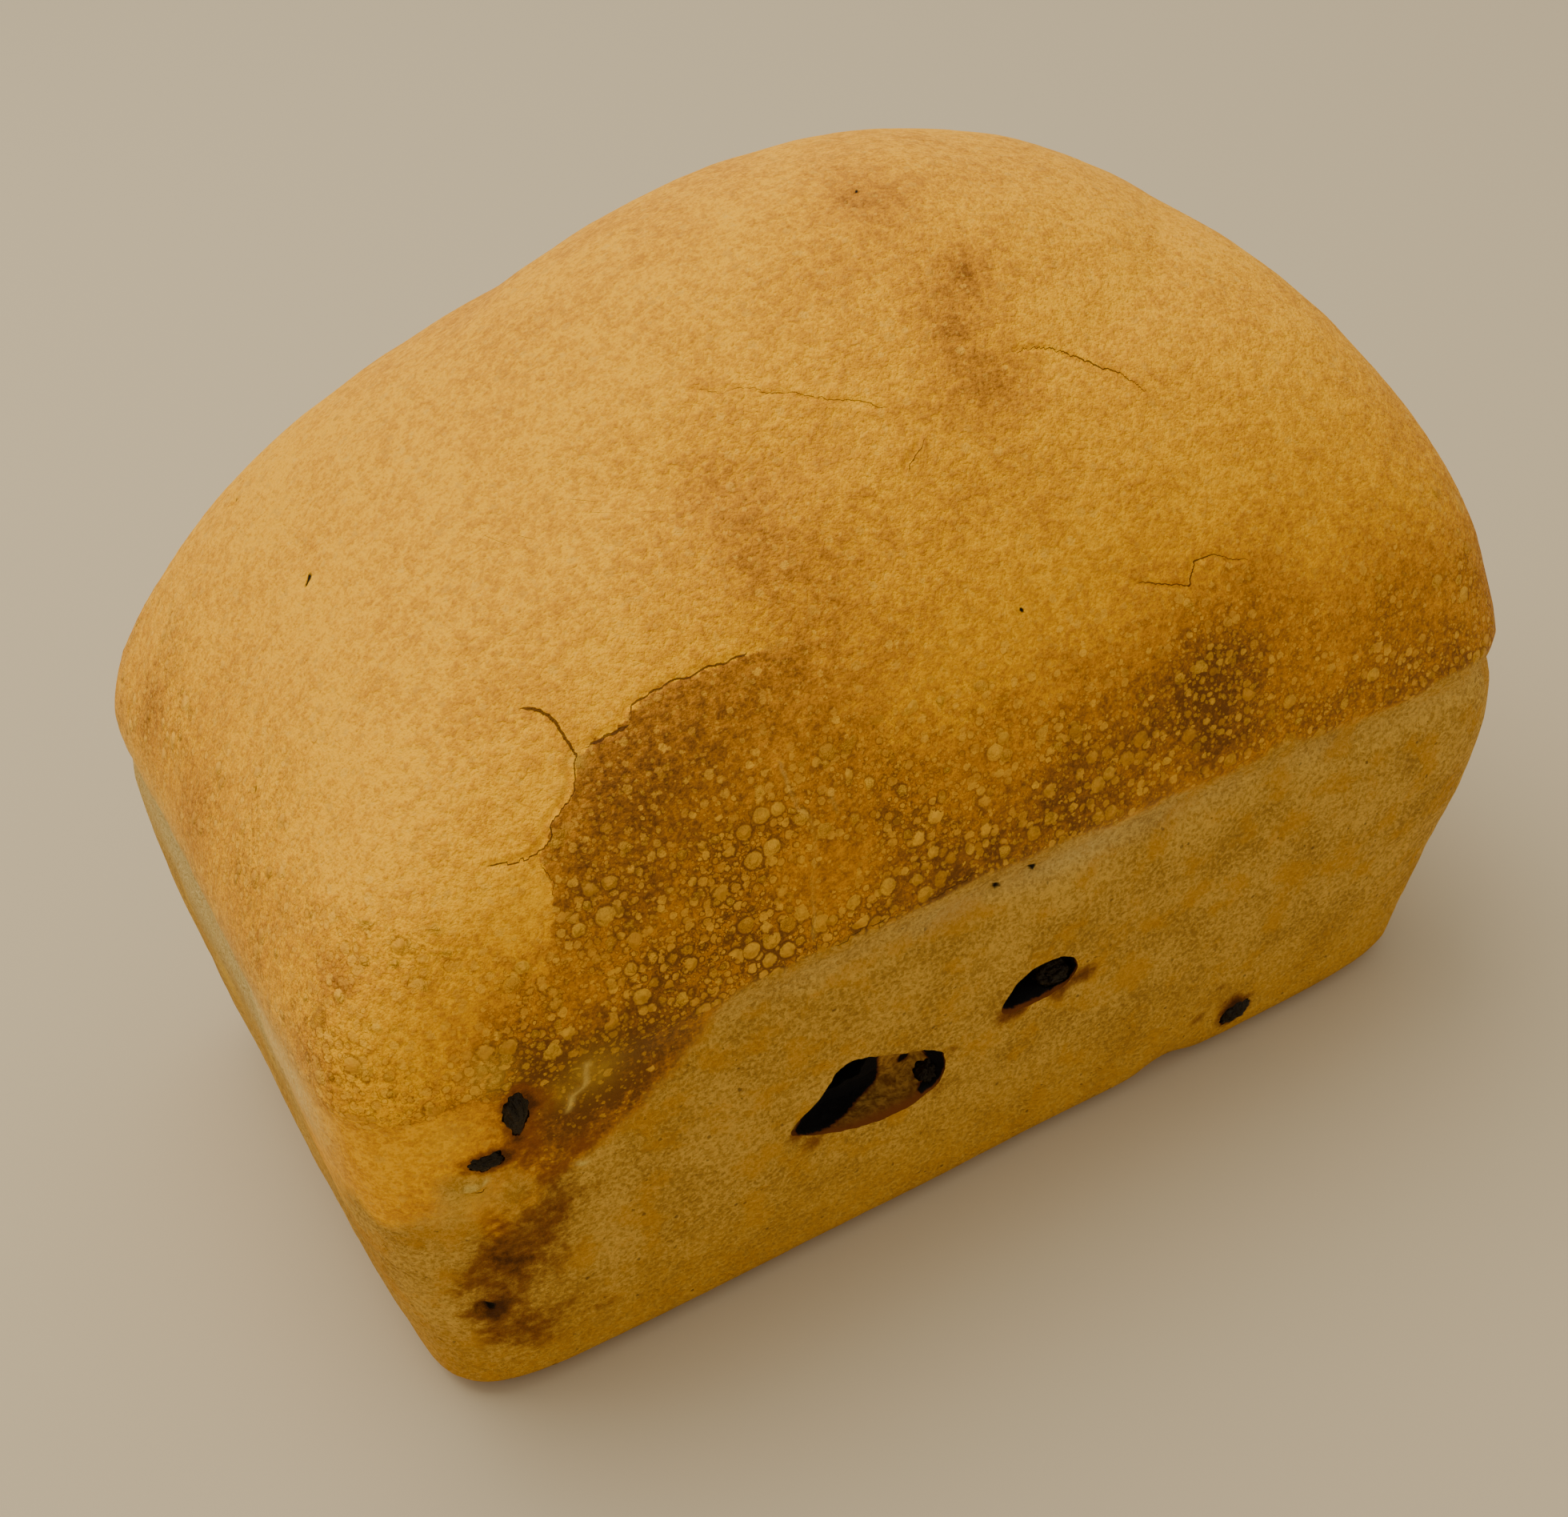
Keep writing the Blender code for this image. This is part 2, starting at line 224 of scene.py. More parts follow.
CRACK_DEPTH = 0.16
CRACK_SLOPE = 0.15
CRACK_LIP = (0.07, 0.7, 0.4)    # height, distance from the crack and width, in millimetres
LINE_SOFTNESS = 0.035
RIDGE_END = 0.8

# Thin raised wrinkles and torn edges: pixels, half width and height in millimetres, paleness
RIDGES = (
    ((
        (972, 948), (980, 965), (985, 985), (1000, 1010), (1012, 1022), (1019, 1045), (1021, 1070),
        (1017, 1105), (1020, 1140), (1015, 1182),
    ), 0.24, 0.26, 0.20),
    (((731, 1325), (729, 1353), (714, 1370), (712, 1395)), 0.45, 0.35, 0.60),
    (((576, 1492), (584, 1486), (600, 1484), (615, 1472)), 0.34, 0.50, 1.00),
    (((1050, 1022), (1044, 1002), (1040, 985)), 0.25, 0.14, 0.30),
    (((718, 1452), (728, 1455), (742, 1453)), 0.28, 0.25, 0.90),
    (((628, 1422), (632, 1420)), 0.35, 0.30, 0.90),
)

# The edge of the dark patch, which follows the main crack: golden above it, brown below
BROWN_EDGE = (
    (1010, 770), (985, 795), (942, 815), (904, 830), (862, 846), (836, 852), (806, 872),
    (790, 892), (771, 912), (745, 924), (722, 944), (718, 988), (690, 1024), (684, 1050),
    (674, 1070), (684, 1090), (692, 1134), (690, 1180), (670, 1230),
)
EDGE_REACH = 15.0
EDGE_END = 9.0              # millimetres over which the edge softens away at its ends

# Browned, pale and stained places: X and Y in the photograph, radius in millimetres, strength
BROWNED = (
    (790, 960, 11, 0.5), (850, 1050, 12, 0.04), (960, 900, 11, 0.15), (720, 1110, 6, 0.25),
    (1060, 690, 13, 0.11), (930, 700, 9, 0.13), (890, 640, 7, 0.13), (1000, 830, 12, 0.14),
    (1510, 850, 8.5, 0.41), (1420, 960, 12, 0.02), (1640, 700, 16, 0.04), (1740, 800, 14, 0.05),
    (1220, 470, 6, 0.13), (1190, 410, 4, 0.14), (1200, 340, 4, 0.2), (1085, 245, 5, 0.22),
    (1120, 300, 9, 0.06), (430, 1225, 3.2, 0.34), (350, 1080, 9, 0.05), (230, 1000, 8, 0.06),
    (660, 1320, 6, 0.4), (760, 1310, 8, 0.3), (600, 1250, 8, 0.02), (1800, 860, 10, 0.05),
    (1140, 1100, 10, 0.15), (1000, 1080, 9, 0.05), (1300, 1010, 9, 0.15), (1250, 600, 20, 0.04),
    (1080, 370, 14, 0.05), (560, 1340, 5, 0.14), (390, 1330, 4, 0.25), (540, 1250, 3, 0.16),
    (1060, 250, 2, 0.2), (1205, 345, 1.6, 0.25), (1185, 408, 1.5, 0.22), (1240, 480, 3, 0.15),
    (700, 1400, 7, 0.35), (620, 1500, 7, 0.25), (192, 880, 5, 0.2), (240, 1015, 5, 0.16),
    (780, 1345, 6, 0.3), (840, 1290, 5, 0.2), (1330, 985, 6, 0.18), (1180, 1080, 7, 0.12),
)
BROWNED_FIRMNESS = 1.6
# Pale places; the three along the left edge are a painted highlight on the lit left end
PALE_AND_LIT_SPOTS = (
    (740, 1335, 3, 0.4), (722, 950, 1, 0.45), (240, 1120, 2.5, 0.9), (290, 1220, 2.5, 0.9),
    (345, 1320, 2, 0.8), (590, 1500, 3, 0.35), (612, 1345, 2.4, 0.35), (690, 1370, 1.6, 0.4),
    (560, 1420, 2.4, 0.25), (700, 985, 1, 0.2),
)
STAINED = (
    (690, 1500, 5, 0.5), (655, 1560, 6, 0.62), (640, 1650, 4, 0.3), (625, 1620, 5, 0.5),
    (612, 1640, 2, 0.5), (690, 1640, 5, 0.32), (664, 1380, 2.4, 0.7), (650, 1440, 3, 0.36),
    (715, 1430, 3.6, 0.32), (1270, 1262, 1.8, 0.65), (1252, 1272, 1.3, 0.5), (1358, 1218, 1.6, 0.5),
    (1330, 1238, 2.2, 0.3), (1020, 1428, 1.6, 0.45), (996, 1424, 1.2, 0.5), (1190, 1318, 1.3, 0.4),
    (1528, 1240, 2.6, 0.32), (1542, 1256, 1.8, 0.55), (1500, 1276, 1.6, 0.3), (1062, 1298, 2.4, 0.16),
    (720, 1330, 2.4, 0.12), (700, 1290, 2, 0.12), (1378, 1330, 1.6, 0.12), (640, 1690, 4, 0.22),
    (760, 1640, 4, 0.18), (1160, 1290, 2, 0.12), (820, 1340, 3, 0.12),
)
STAIN_ROUND_RAISINS = (0.5, 0.0006)     # strength and reach
# Pits, small holes whose dark insides are painted shade: X and Y in the photograph, radius in millimetres
PITS = (
    (386, 726, 0.75), (414, 648, 0.32), (1071, 238, 0.34), (801, 520, 0.26), (1245, 1110, 0.8),
    (1290, 1085, 0.7), (1778, 945, 0.5), (711, 1438, 0.45), (610, 1636, 1.05), (323, 986, 0.4),
    (617, 771, 0.28), (1278, 762, 0.3), (290, 626, 0.6), (164, 888, 0.4), (530, 822, 0.25),
)
PIT_DEPTH = 0.7             # as a share of its radius
# Pixels in the torn hollow and the smaller hole, round which the mesh is fine
HOLLOW_PIXELS = ((1060, 1370), (1120, 1360), (1010, 1410), (1300, 1230))

# The torn hollow, its deep left part and the smaller hole: outlines as X and Z on the wall
TEAR_OUTLINE = (
    (-0.0290, 0.0262), (-0.0254, 0.0300), (-0.0215, 0.0342), (-0.0147, 0.0317),
    (-0.0084, 0.0282), (-0.0088, 0.0223), (-0.0136, 0.0205), (-0.0216, 0.0216),
)
PIT_OUTLINE = (
    (-0.0275, 0.0262), (-0.0240, 0.0296), (-0.0210, 0.0334), (-0.0172, 0.0325),
    (-0.0170, 0.0275), (-0.0205, 0.0250),
)
# Where shade is painted black in the torn hollow, as it is seen on the wall
HOLLOW_SHADE_OUTLINE = (
    (-0.0300, 0.0248), (-0.0272, 0.0274), (-0.0253, 0.0300), (-0.0232, 0.0320), (-0.0215, 0.0350),
    (-0.0172, 0.0345), (-0.0170, 0.0300), (-0.0171, 0.0268), (-0.0197, 0.0252), (-0.0222, 0.0242),
    (-0.0262, 0.0243),
)
# The dark crescent by the raisin in the torn hollow, also painted black as shade
CRESCENT_OUTLINE = (
    (-0.0110, 0.0300), (-0.0074, 0.0286), (-0.0074, 0.0240), (-0.0088, 0.0212), (-0.0114, 0.0210),
    (-0.0114, 0.0234), (-0.0100, 0.0245), (-0.0098, 0.0265),
)
# The little pore is painted black as shade too
PORE = (-0.0134, 0.0287, 0.0007)    # X, Z and radius of the little pore in the torn crumb
HOLE_OUTLINE = (
    (-0.0002, 0.0302), (0.0018, 0.0346), (0.0055, 0.0360), (0.0093, 0.0348),
    (0.0106, 0.0320), (0.0085, 0.0298), (0.0040, 0.0292),
)
# Name, outline, depth, shift of the far end, rounding of the lower lip
HOLLOWS = (
    ("tear", TEAR_OUTLINE, 0.0048, (0.0010, -0.0020), 0.0016),
    ("pit", PIT_OUTLINE, 0.0140, (0.0020, 0.0000), 0.0004),
    ("hole", HOLE_OUTLINE, 0.0060, (0.0015, -0.0015), 0.0010),
)
HOLLOW_TAPER = 0.30
SIGHT_SHIFT = (0.50, -0.88)     # how far the line of sight moves for each unit behind the wall
HOLLOW_SIDES = 96
MOUTH_REACH = 0.003
MOUTH_RAGGED = (0.00016, 0.0011)    # strength and size of the noise in the mouth's edge
RING_STEP = 0.00045
LIP_REACH = 0.0012
ROUGH_REACH = 0.0008
SHADE_LOOP_SIDES = 60
SHADE_SOFTNESS = 0.8
# Painted shade: from this depth on, a hollow is painted black
SHADE_DEPTH = (5.6, 7.6)           # millimetres behind the wall from which a hollow is black

# Raisins: node, centre, half sizes, turn in degrees
RAISINS = (
    ("raisin_corner_upper", (-0.0602, -0.0447, 0.0506), (0.0017, 0.0022, 0.0037), (0, 6, 0)),
    ("raisin_corner_lower", (-0.0640, -0.0441, 0.0450), (0.0025, 0.0020, 0.0015), (0, 8, 12)),
    ("raisin_in_tear", (-0.0088, -0.0411, 0.0215), (0.0017, 0.0024, 0.0031), (0, 24, -12)),
    ("raisin_in_hole", (0.0089, -0.0421, 0.0304), (0.0031, 0.0025, 0.0022), (0, -10, 10)),
    ("raisin_at_base", (0.0387, -0.0411, 0.0066), (0.0030, 0.0020, 0.0015), (0, -25, 0)),
)
RAISIN_WRINKLES = ((0.12, 1.7), (0.055, 4.3))   # depth and fineness of the folds and creases
RAISIN_DETAIL = 6
POCKET_DETAIL = 5
SEED_STEP = 5.0
LAP = 0.0004                # how far the crumb round a raisin swings in and out
LAP_SIZES = (0.0013, 0.0005)


def slope(value, start, end):
    """0 up to the start, 1 from the end on, and even between the two."""
    return np.clip((value - start) / (end - start), 0, 1)


def hump(value, middle, width):
    """1 in the middle, and fading away on both sides of it."""
    return np.exp(-(((value - middle) / width) ** 2))


def up_to(value, top, width):
    """1 up to the top, and fading away over it."""
    return hump(np.maximum(value, top), top, width)


def rim_line(x):
    """The height of the rim, which falls to the right."""
    return RIM_HEIGHT + RIM_TILT * x


def view_axes():
    """The camera's right, up and backward directions, and its place."""
    turn = math.radians(VIEW_AZIMUTH)
    lift = math.radians(VIEW_ELEVATION)
    roll = math.radians(VIEW_ROLL)
    back = Vector((-math.sin(turn) * math.cos(lift), -math.cos(turn) * math.cos(lift), math.sin(lift)))
    level = (-back).cross(Vector((0, 0, 1))).normalized()
    above = level.cross(-back)
    right = level * math.cos(roll) + above * math.sin(roll)
    up = above * math.cos(roll) - level * math.sin(roll)
    place = Vector(VIEW_AIM) + back * VIEW_DISTANCE + right * VIEW_SLIDE[0] + up * VIEW_SLIDE[1]
    return right, up, back, place


def add_camera():
    right, up, back, place = view_axes()
    data = bpy.data.cameras.new("camera")
    data.sensor_width = SENSOR_WIDTH
    data.lens = SENSOR_WIDTH * FOCAL_PIXELS / PHOTO_SIZE[0]
    data.clip_start = 0.01
    camera = bpy.data.objects.new("camera", data)
    turn = Matrix((right, up, back)).transposed()
    camera.matrix_world = Matrix.Translation(place) @ turn.to_4x4()
    bpy.context.scene.collection.objects.link(camera)
    bpy.context.scene.camera = camera


def outline(u, v, power):
    """Carries points of a square of half side 1 onto a rounded rectangle of half side 1."""
    reach = (np.abs(u) ** power + np.abs(v) ** power) ** (-1.0 / power)
    return u * reach, v * reach


def loaf_points(cube):
    """Carries points of the cube's surface, one a row, onto the loaf without its relief."""
    spread = np.maximum(np.abs(cube[:, 0]), np.abs(cube[:, 1]))
    spread = np.maximum(spread, 1e-6)
    u = cube[:, 0] / spread
    v = cube[:, 1] / spread
    climb = CAP_SHARE * (cube[:, 2] + 1) / 2 + (1 - CAP_SHARE) * (1 - spread) * (cube[:, 2] > 0.999)
    half_long = LENGTH / 2
    half_wide = WIDTH / 2

    # The wall, with its rounded bottom edge
    turn = np.clip(climb / EDGE_SHARE, 0, 1) * math.pi / 2
    up_wall = np.clip((climb - EDGE_SHARE) / (RIM_SHARE - EDGE_SHARE), 0, 1)
    wall_z = BASE_EDGE * (1 - np.cos(turn)) + (RIM_HEIGHT - BASE_EDGE) * up_wall
    rise = wall_z / RIM_HEIGHT
    inset = half_wide * (1 - BASE_SHARE) * (1 - rise) + BASE_EDGE * (1 - np.sin(turn))
    bulge = WALL_BULGE * half_long * 4 * rise * (1 - rise)
    below = RIM_HEIGHT - GROOVE_DROP - wall_z
    groove = GROOVE_DEPTH * np.exp(-((below / GROOVE_WIDTH) ** 2))

    # The crown: at its foot both factors are 1, and at its top both are 0
    up_crown = np.sin(np.clip((climb - RIM_SHARE) / (1 - RIM_SHARE), 0, 1) * math.pi / 2)
    blend = up_crown**20
    long_root = CROWN_LONG[1] * (1 - blend) + 2 * blend
    cross_root = CROWN_CROSS[1] * (1 - blend) + 2 * blend
    factor_x = np.maximum(1 - up_crown ** CROWN_LONG[0], 0) ** (1 / long_root)
    factor_y = np.maximum(1 - up_crown ** CROWN_CROSS[0], 0) ** (1 / cross_root)
    tuck = CROWN_TUCK * 4 * up_crown * np.exp(1 - 4 * up_crown) * (1 - up_crown)

    squareness = WALL_SQUARENESS + (CROWN_SQUARENESS - WALL_SQUARENESS) * np.minimum(1, 1.3 * up_crown)
    out_x, out_y = outline(u, v, squareness)
    x = out_x * (half_long - inset + bulge - groove) * factor_x
    y = out_y * (half_wide - inset + bulge * 0.3 - groove) * factor_y
    y = y + out_y * half_wide * tuck * out_y**2
    x = x + CROWN_LEAN[0] * up_crown**2
    y = y + CROWN_LEAN[1] * up_crown**2

    # The crown is higher on the right and at the back, and the rim line falls to the right
    along = x / half_long
    across = y / half_wide
    slant = CROWN_TILT[0] * along + CROWN_TILT[1] * (along**2 - 0.3) + CROWN_TILT[2] * across
    z = wall_z + CROWN_HEIGHT * up_crown * (1 + slant)
    near_rim = np.clip(z / RIM_HEIGHT, 0, 1) * np.clip((1.8 * RIM_HEIGHT - z) / (0.8 * RIM_HEIGHT), 0, 1)
    z = z + near_rim * RIM_TILT * x

    # The base is flat, and the cube's bottom face is simply laid out on it
    flat = cube[:, 2] < -0.999
    x = np.where(flat, x * spread, x)
    y = np.where(flat, y * spread, y)
    return np.column_stack((x, y, z))


def wall_y(x, z):
    """The long side's Y at this X and Z, where the tin held it."""
    rise = z / RIM_HEIGHT
    half_long = LENGTH / 2
    half_wide = WIDTH / 2
    share = (1 - np.minimum(np.abs(x) / half_long, 1) ** WALL_SQUARENESS) ** (1 / WALL_SQUARENESS)
    bulge = WALL_BULGE * half_long * 4 * rise * (1 - rise)
    return -share * (half_wide - half_wide * (1 - BASE_SHARE) * (1 - rise) + bulge * 0.3)


class Target:
    """The plain loaf, onto which pixels of the photograph are cast."""

    def __init__(self):
        grid = cube_grid(GRID_CUTS)
        points = loaf_points(coordinates(grid))
        set_points(grid, points)
        grid.normal_update()
        self.tree = BVHTree.FromBMesh(grid)
        grid.free()
        self.right, self.up, self.back, self.place = view_axes()

    def line(self, pixels):
        """Points along a line of pixels, cast onto the loaf at short steps, a little ragged."""
        spots = []
        for (x0, y0), (x1, y1) in zip(pixels, pixels[1:]):
            run = math.hypot(x1 - x0, y1 - y0)
            count = max(1, math.ceil(run / CRACK_STEP))
            for k in range(count):
                x = x0 + (x1 - x0) * k / count
                y = y0 + (y1 - y0) * k / count
                off = CRACK_JITTER * noise.noise(Vector((x / CRACK_BEND, y / CRACK_BEND, 0.5))) * 2
                spots.append(self.hit((x - off * (y1 - y0) / run, y + off * (x1 - x0) / run)))
        spots.append(self.hit(pixels[-1]))
        return np.array(spots)

    def hit(self, pixel):
        """The point of the loaf seen at a pixel of the photograph."""
        x = (pixel[0] - PHOTO_SIZE[0] / 2) / FOCAL_PIXELS
        y = (PHOTO_SIZE[1] / 2 - pixel[1]) / FOCAL_PIXELS
        ray = self.right * x + self.up * y - self.back
        spot, _, _, _ = self.tree.ray_cast(self.place, ray.normalized())
        if spot is None:
            raise ValueError(f"pixel {pixel} misses the loaf")
        return np.array(spot)


def coordinates(grid):
    return np.array([vertex.co for vertex in grid.verts])


def set_points(grid, points):
    for vertex, point in zip(grid.verts, points):
        vertex.co = Vector(point)


def cube_grid(all_cuts):
    """Makes a cube of half side 1 whose faces are a grid, but for its bottom, which is one face."""
    grid = bmesh.new()
    bmesh.ops.create_cube(grid, size=2.0)
    for axis, cuts in enumerate(all_cuts):
        edges = []
        for edge in grid.edges:
            run = edge.verts[1].co - edge.verts[0].co
            if abs(run[axis]) > 1e-4:
                edges.append(edge)
        bmesh.ops.subdivide_edges(grid, edges=edges, cuts=cuts, use_grid_fill=True)
    bottom = [face for face in grid.faces if face.normal.z < -0.9]
    bmesh.ops.dissolve_faces(grid, faces=bottom, use_verts=False)
    return grid


def fineness(points, crack_gap, fruit_gap):
    """How many times the grid is halved at each point."""
    low, high = BAND
    x, y, z = points.T
    seen = (x < SEEN[0]) | (y < SEEN[1])
    level = np.zeros(len(points), dtype=int)
    level[(z > low) & (seen | (z > HIGH_CROWN))] = 1
    level[(y < FRONT_WALL) & (z > OFF_THE_BASE)] = 1
    level[(z > low) & (z < high) & seen] = 2
    level[fruit_gap < FINE_ROUND_FRUIT] = 2
    level[crack_gap < HALF_FINE_ROUND_CRACKS] = 2
    level[crack_gap < FINE_ROUND_CRACKS] = 3
    return level


def nearest_on_lines(points, lines, normals=None):
    """For each point: its distance to the nearest line, signed where normals are given, which
    line that is, and how far the nearest place on it lies from the line's nearer end."""
    gap = np.full(len(points), 1.0)
    side = np.ones(len(points))
    which = np.zeros(len(points), dtype=int)
    along = np.zeros(len(points))
    for index, line in enumerate(lines):
        low = line.min(axis=0) - 0.03
        high = line.max(axis=0) + 0.03
        near = np.nonzero(np.all((points > low) & (points < high), axis=1))[0]
        spots = points[near]
        passed = 0.0
        for start, end in zip(line, line[1:]):
            run = end - start
            length = np.linalg.norm(run)
            share = np.clip(((spots - start) @ run) / length**2, 0, 1)
            away = spots - start - share[:, None] * run
            here = np.linalg.norm(away, axis=1)
            nearer = here < gap[near] - 1e-9
            chosen = near[nearer]
            gap[chosen] = here[nearer]
            which[chosen] = index
            along[chosen] = passed + share[nearer] * length
            if normals is not None:
                turn = np.einsum("ij,ij->i", np.cross(run, away[nearer]), normals[chosen])
                side[chosen] = np.where(turn < 0, -1.0, 1.0)
            passed += length
    lengths = np.array([np.linalg.norm(np.diff(line, axis=0), axis=1).sum() for line in lines])
    return gap * side, which, np.minimum(along, lengths[which] - along)


def gap_to_spots(points, spots):
    gap = np.full(len(points), 1.0)
    for spot in spots:
        gap = np.minimum(gap, np.linalg.norm(points - np.array(spot), axis=1))
    return gap


def fine_grid(lines, spots):
    """The cube's grid, halved again and again where the loaf has detail."""
    grid = cube_grid(GRID_CUTS)
    for level in range(3):
        faces = [face for face in grid.faces if len(face.verts) == 4]
        centres = loaf_points(np.array([face.calc_center_median() for face in faces]))
        crack_gap = nearest_on_lines(centres, lines)[0]
        wanted = fineness(centres, crack_gap, gap_to_spots(centres, spots)) > level
        edges = set()
        for face, split in zip(faces, wanted):
            if split:
                edges.update(face.edges)
        bmesh.ops.subdivide_edges(grid, edges=list(edges), cuts=1, use_grid_fill=True)
    return grid


def noise_at(points, size, seed):
    """Smooth noise between about -1 and 1, with lumps of this size."""
    offset = Vector((seed, seed * 2.3, seed * 3.1))
    return np.array([noise.noise(Vector(point) / size + offset) for point in points])


def waves(points, parts):
    """Noises of several strengths and sizes, added up."""
    return sum(strength * noise_at(points, size, seed) for strength, size, seed in parts)


def swells(points):
    height = np.zeros(len(points))
    for centre, radius, rise in SWELLS:
        gap = np.linalg.norm(points - np.array(centre), axis=1)
        height += rise * np.exp(-((gap / radius) ** 2) * 1.5)
    return height


def spot_mask(points, spots, target, firm=2.0):
    """Soft round spots, placed by pixels of the photograph."""
    mask = np.zeros(len(points))
    for x, y, radius, strength in spots:
        gap = np.linalg.norm(points - target.hit((x, y)), axis=1) / (radius * MM)
        mask += strength * np.exp(-(gap**firm))
    return mask


def pits(points, target):
    """The radius of each pit, and how far each point is in it."""
    for x, y, radius in PITS:
        gap = np.linalg.norm(points - target.hit((x, y)), axis=1) / (radius * MM)
        yield radius, np.exp(-(gap**4))


def golden_side(points, edge):
    """1 beside the dark patch's edge on its golden side, 0 on its brown side and far away."""
    outward = points - np.array((0, 0, RIM_HEIGHT))
    side, _, from_end = nearest_on_lines(points, [edge], outward)
    return slope(from_end, 0, EDGE_END * MM) * hump(side, 0, EDGE_REACH * MM) * (side < 0)


def bubble_density(points, edge):
    """How thickly the crust is blistered: most in the band over the rim."""
    x, y, z = points.T
    over = z - rim_line(x)
    band = up_to(over, 0.008, 0.016)
    low_left = hump(x, -0.036, 0.018) * up_to(over, 0.007, 0.009) * (y < FRONT_WALL)
    density = (0.60 * band + 0.75 * low_left) * (0.65 + waves(points, CLUMP_WAVES))
    density *= 1 - 0.95 * golden_side(points, edge) ** 0.5
    return np.clip(density * slope(over, -0.0030, -0.0015), 0, 1)


def near_left_corner(x, y):
    """1 by the corner nearest the camera, where the rim's fold ends, and 0 away from it."""
    return slope(x, *NEAR_CORNER_X) * slope(y, *NEAR_CORNER_Y)


def crust_relief(points, target):
    """The height of the crust's swells, lumps and creases over the plain loft."""
    x, y, z = points.T
    fade = slope(z, 0, 0.010)
    on_wall = slope(z, RIM_HEIGHT, RIM_HEIGHT - 0.004)
    relief = swells(points) + waves(points, CRUST_WAVES) * fade
    relief += waves(points * np.array(CREASE_STRETCH), CREASES) * fade * (0.5 + on_wall)
    relief += bubble_density(points, target.line(BROWN_EDGE)) * np.abs(waves(points, BLISTER_LUMPS))
    drop = rim_line(x) - GROOVE_DROP - z
    return relief + 0.9 * near_left_corner(x, y) * GROOVE_DEPTH * hump(drop, 0, GROOVE_WIDTH)


def mark_relief(points, target, lines, ridges):
    """The height of the cracks, the raised wrinkles and the pits."""
    gap, which, from_end = nearest_on_lines(points, lines)
    widths = np.array([width for _, width, _ in CRACKS])[which] * MM
    ends = slope(from_end, 0, CRACK_END * MM)
    height, away, width = np.array(CRACK_LIP) * MM
    relief = height * ends * hump(gap, away, width)
    relief -= CRACK_DEPTH * MM * ends * hump(gap, 0, widths + CRACK_SLOPE * MM)
    gap, which, from_end = nearest_on_lines(points, ridges)
    wide, high = np.array([sizes[1:3] for sizes in RIDGES])[which].T * MM
    relief += high * slope(from_end, 0, RIDGE_END * MM) * hump(gap, 0, wide)
    for radius, pit in pits(points, target):
        relief -= PIT_DEPTH * radius * MM * pit
    return relief


def build_bread(target):
    """The loaf's skin with its relief, before the hollows are cut."""
    lines = [target.line(pixels) for _, _, pixels in CRACKS]
    ridges = [target.line(pixels) for pixels, _, _, _ in RIDGES]
    spots = [centre for _, centre, _, _ in RAISINS]
    spots += [target.hit((x, y)) for x, y, _ in PITS]
    spots += [target.hit(pixel) for pixel in HOLLOW_PIXELS]
    grid = fine_grid(lines + ridges, spots)
    cube = coordinates(grid)
    points = loaf_points(cube)
    set_points(grid, points)
    bmesh.ops.recalc_face_normals(grid, faces=grid.faces)
    grid.normal_update()
    normals = np.array([vertex.normal for vertex in grid.verts])
    relief = crust_relief(points, target) + mark_relief(points, target, lines, ridges)
    points = points + normals * relief[:, None]
    points[:, 2] = np.where(cube[:, 2] < -0.999, 0, np.maximum(points[:, 2], 0))
    middle = (points.min(axis=0) + points.max(axis=0)) / 2
    points[:, :2] -= middle[:2]
    set_points(grid, points)
    mesh = bpy.data.meshes.new("bread")
    grid.to_mesh(mesh)
    grid.free()
    bread = bpy.data.objects.new("bread", mesh)
    bpy.context.scene.collection.objects.link(bread)
    return bread, lines, ridges


def smooth_loop(corners, count):
    """Points at even steps of a closed smooth curve through the corners."""
    total = len(corners)
    loop = []
    for step in range(count):
        place = step * total / count
        start = int(place)
        t = place - start
        p0, p1, p2, p3 = (np.array(corners[(start + k) % total]) for k in (-1, 0, 1, 2))
        curve = 2 * p1 + (p2 - p0) * t + (2 * p0 - 5 * p1 + 4 * p2 - p3) * t**2
        curve = curve + (3 * p1 - p0 - 3 * p2 + p3) * t**3
        loop.append(curve / 2)
    return np.array(loop)


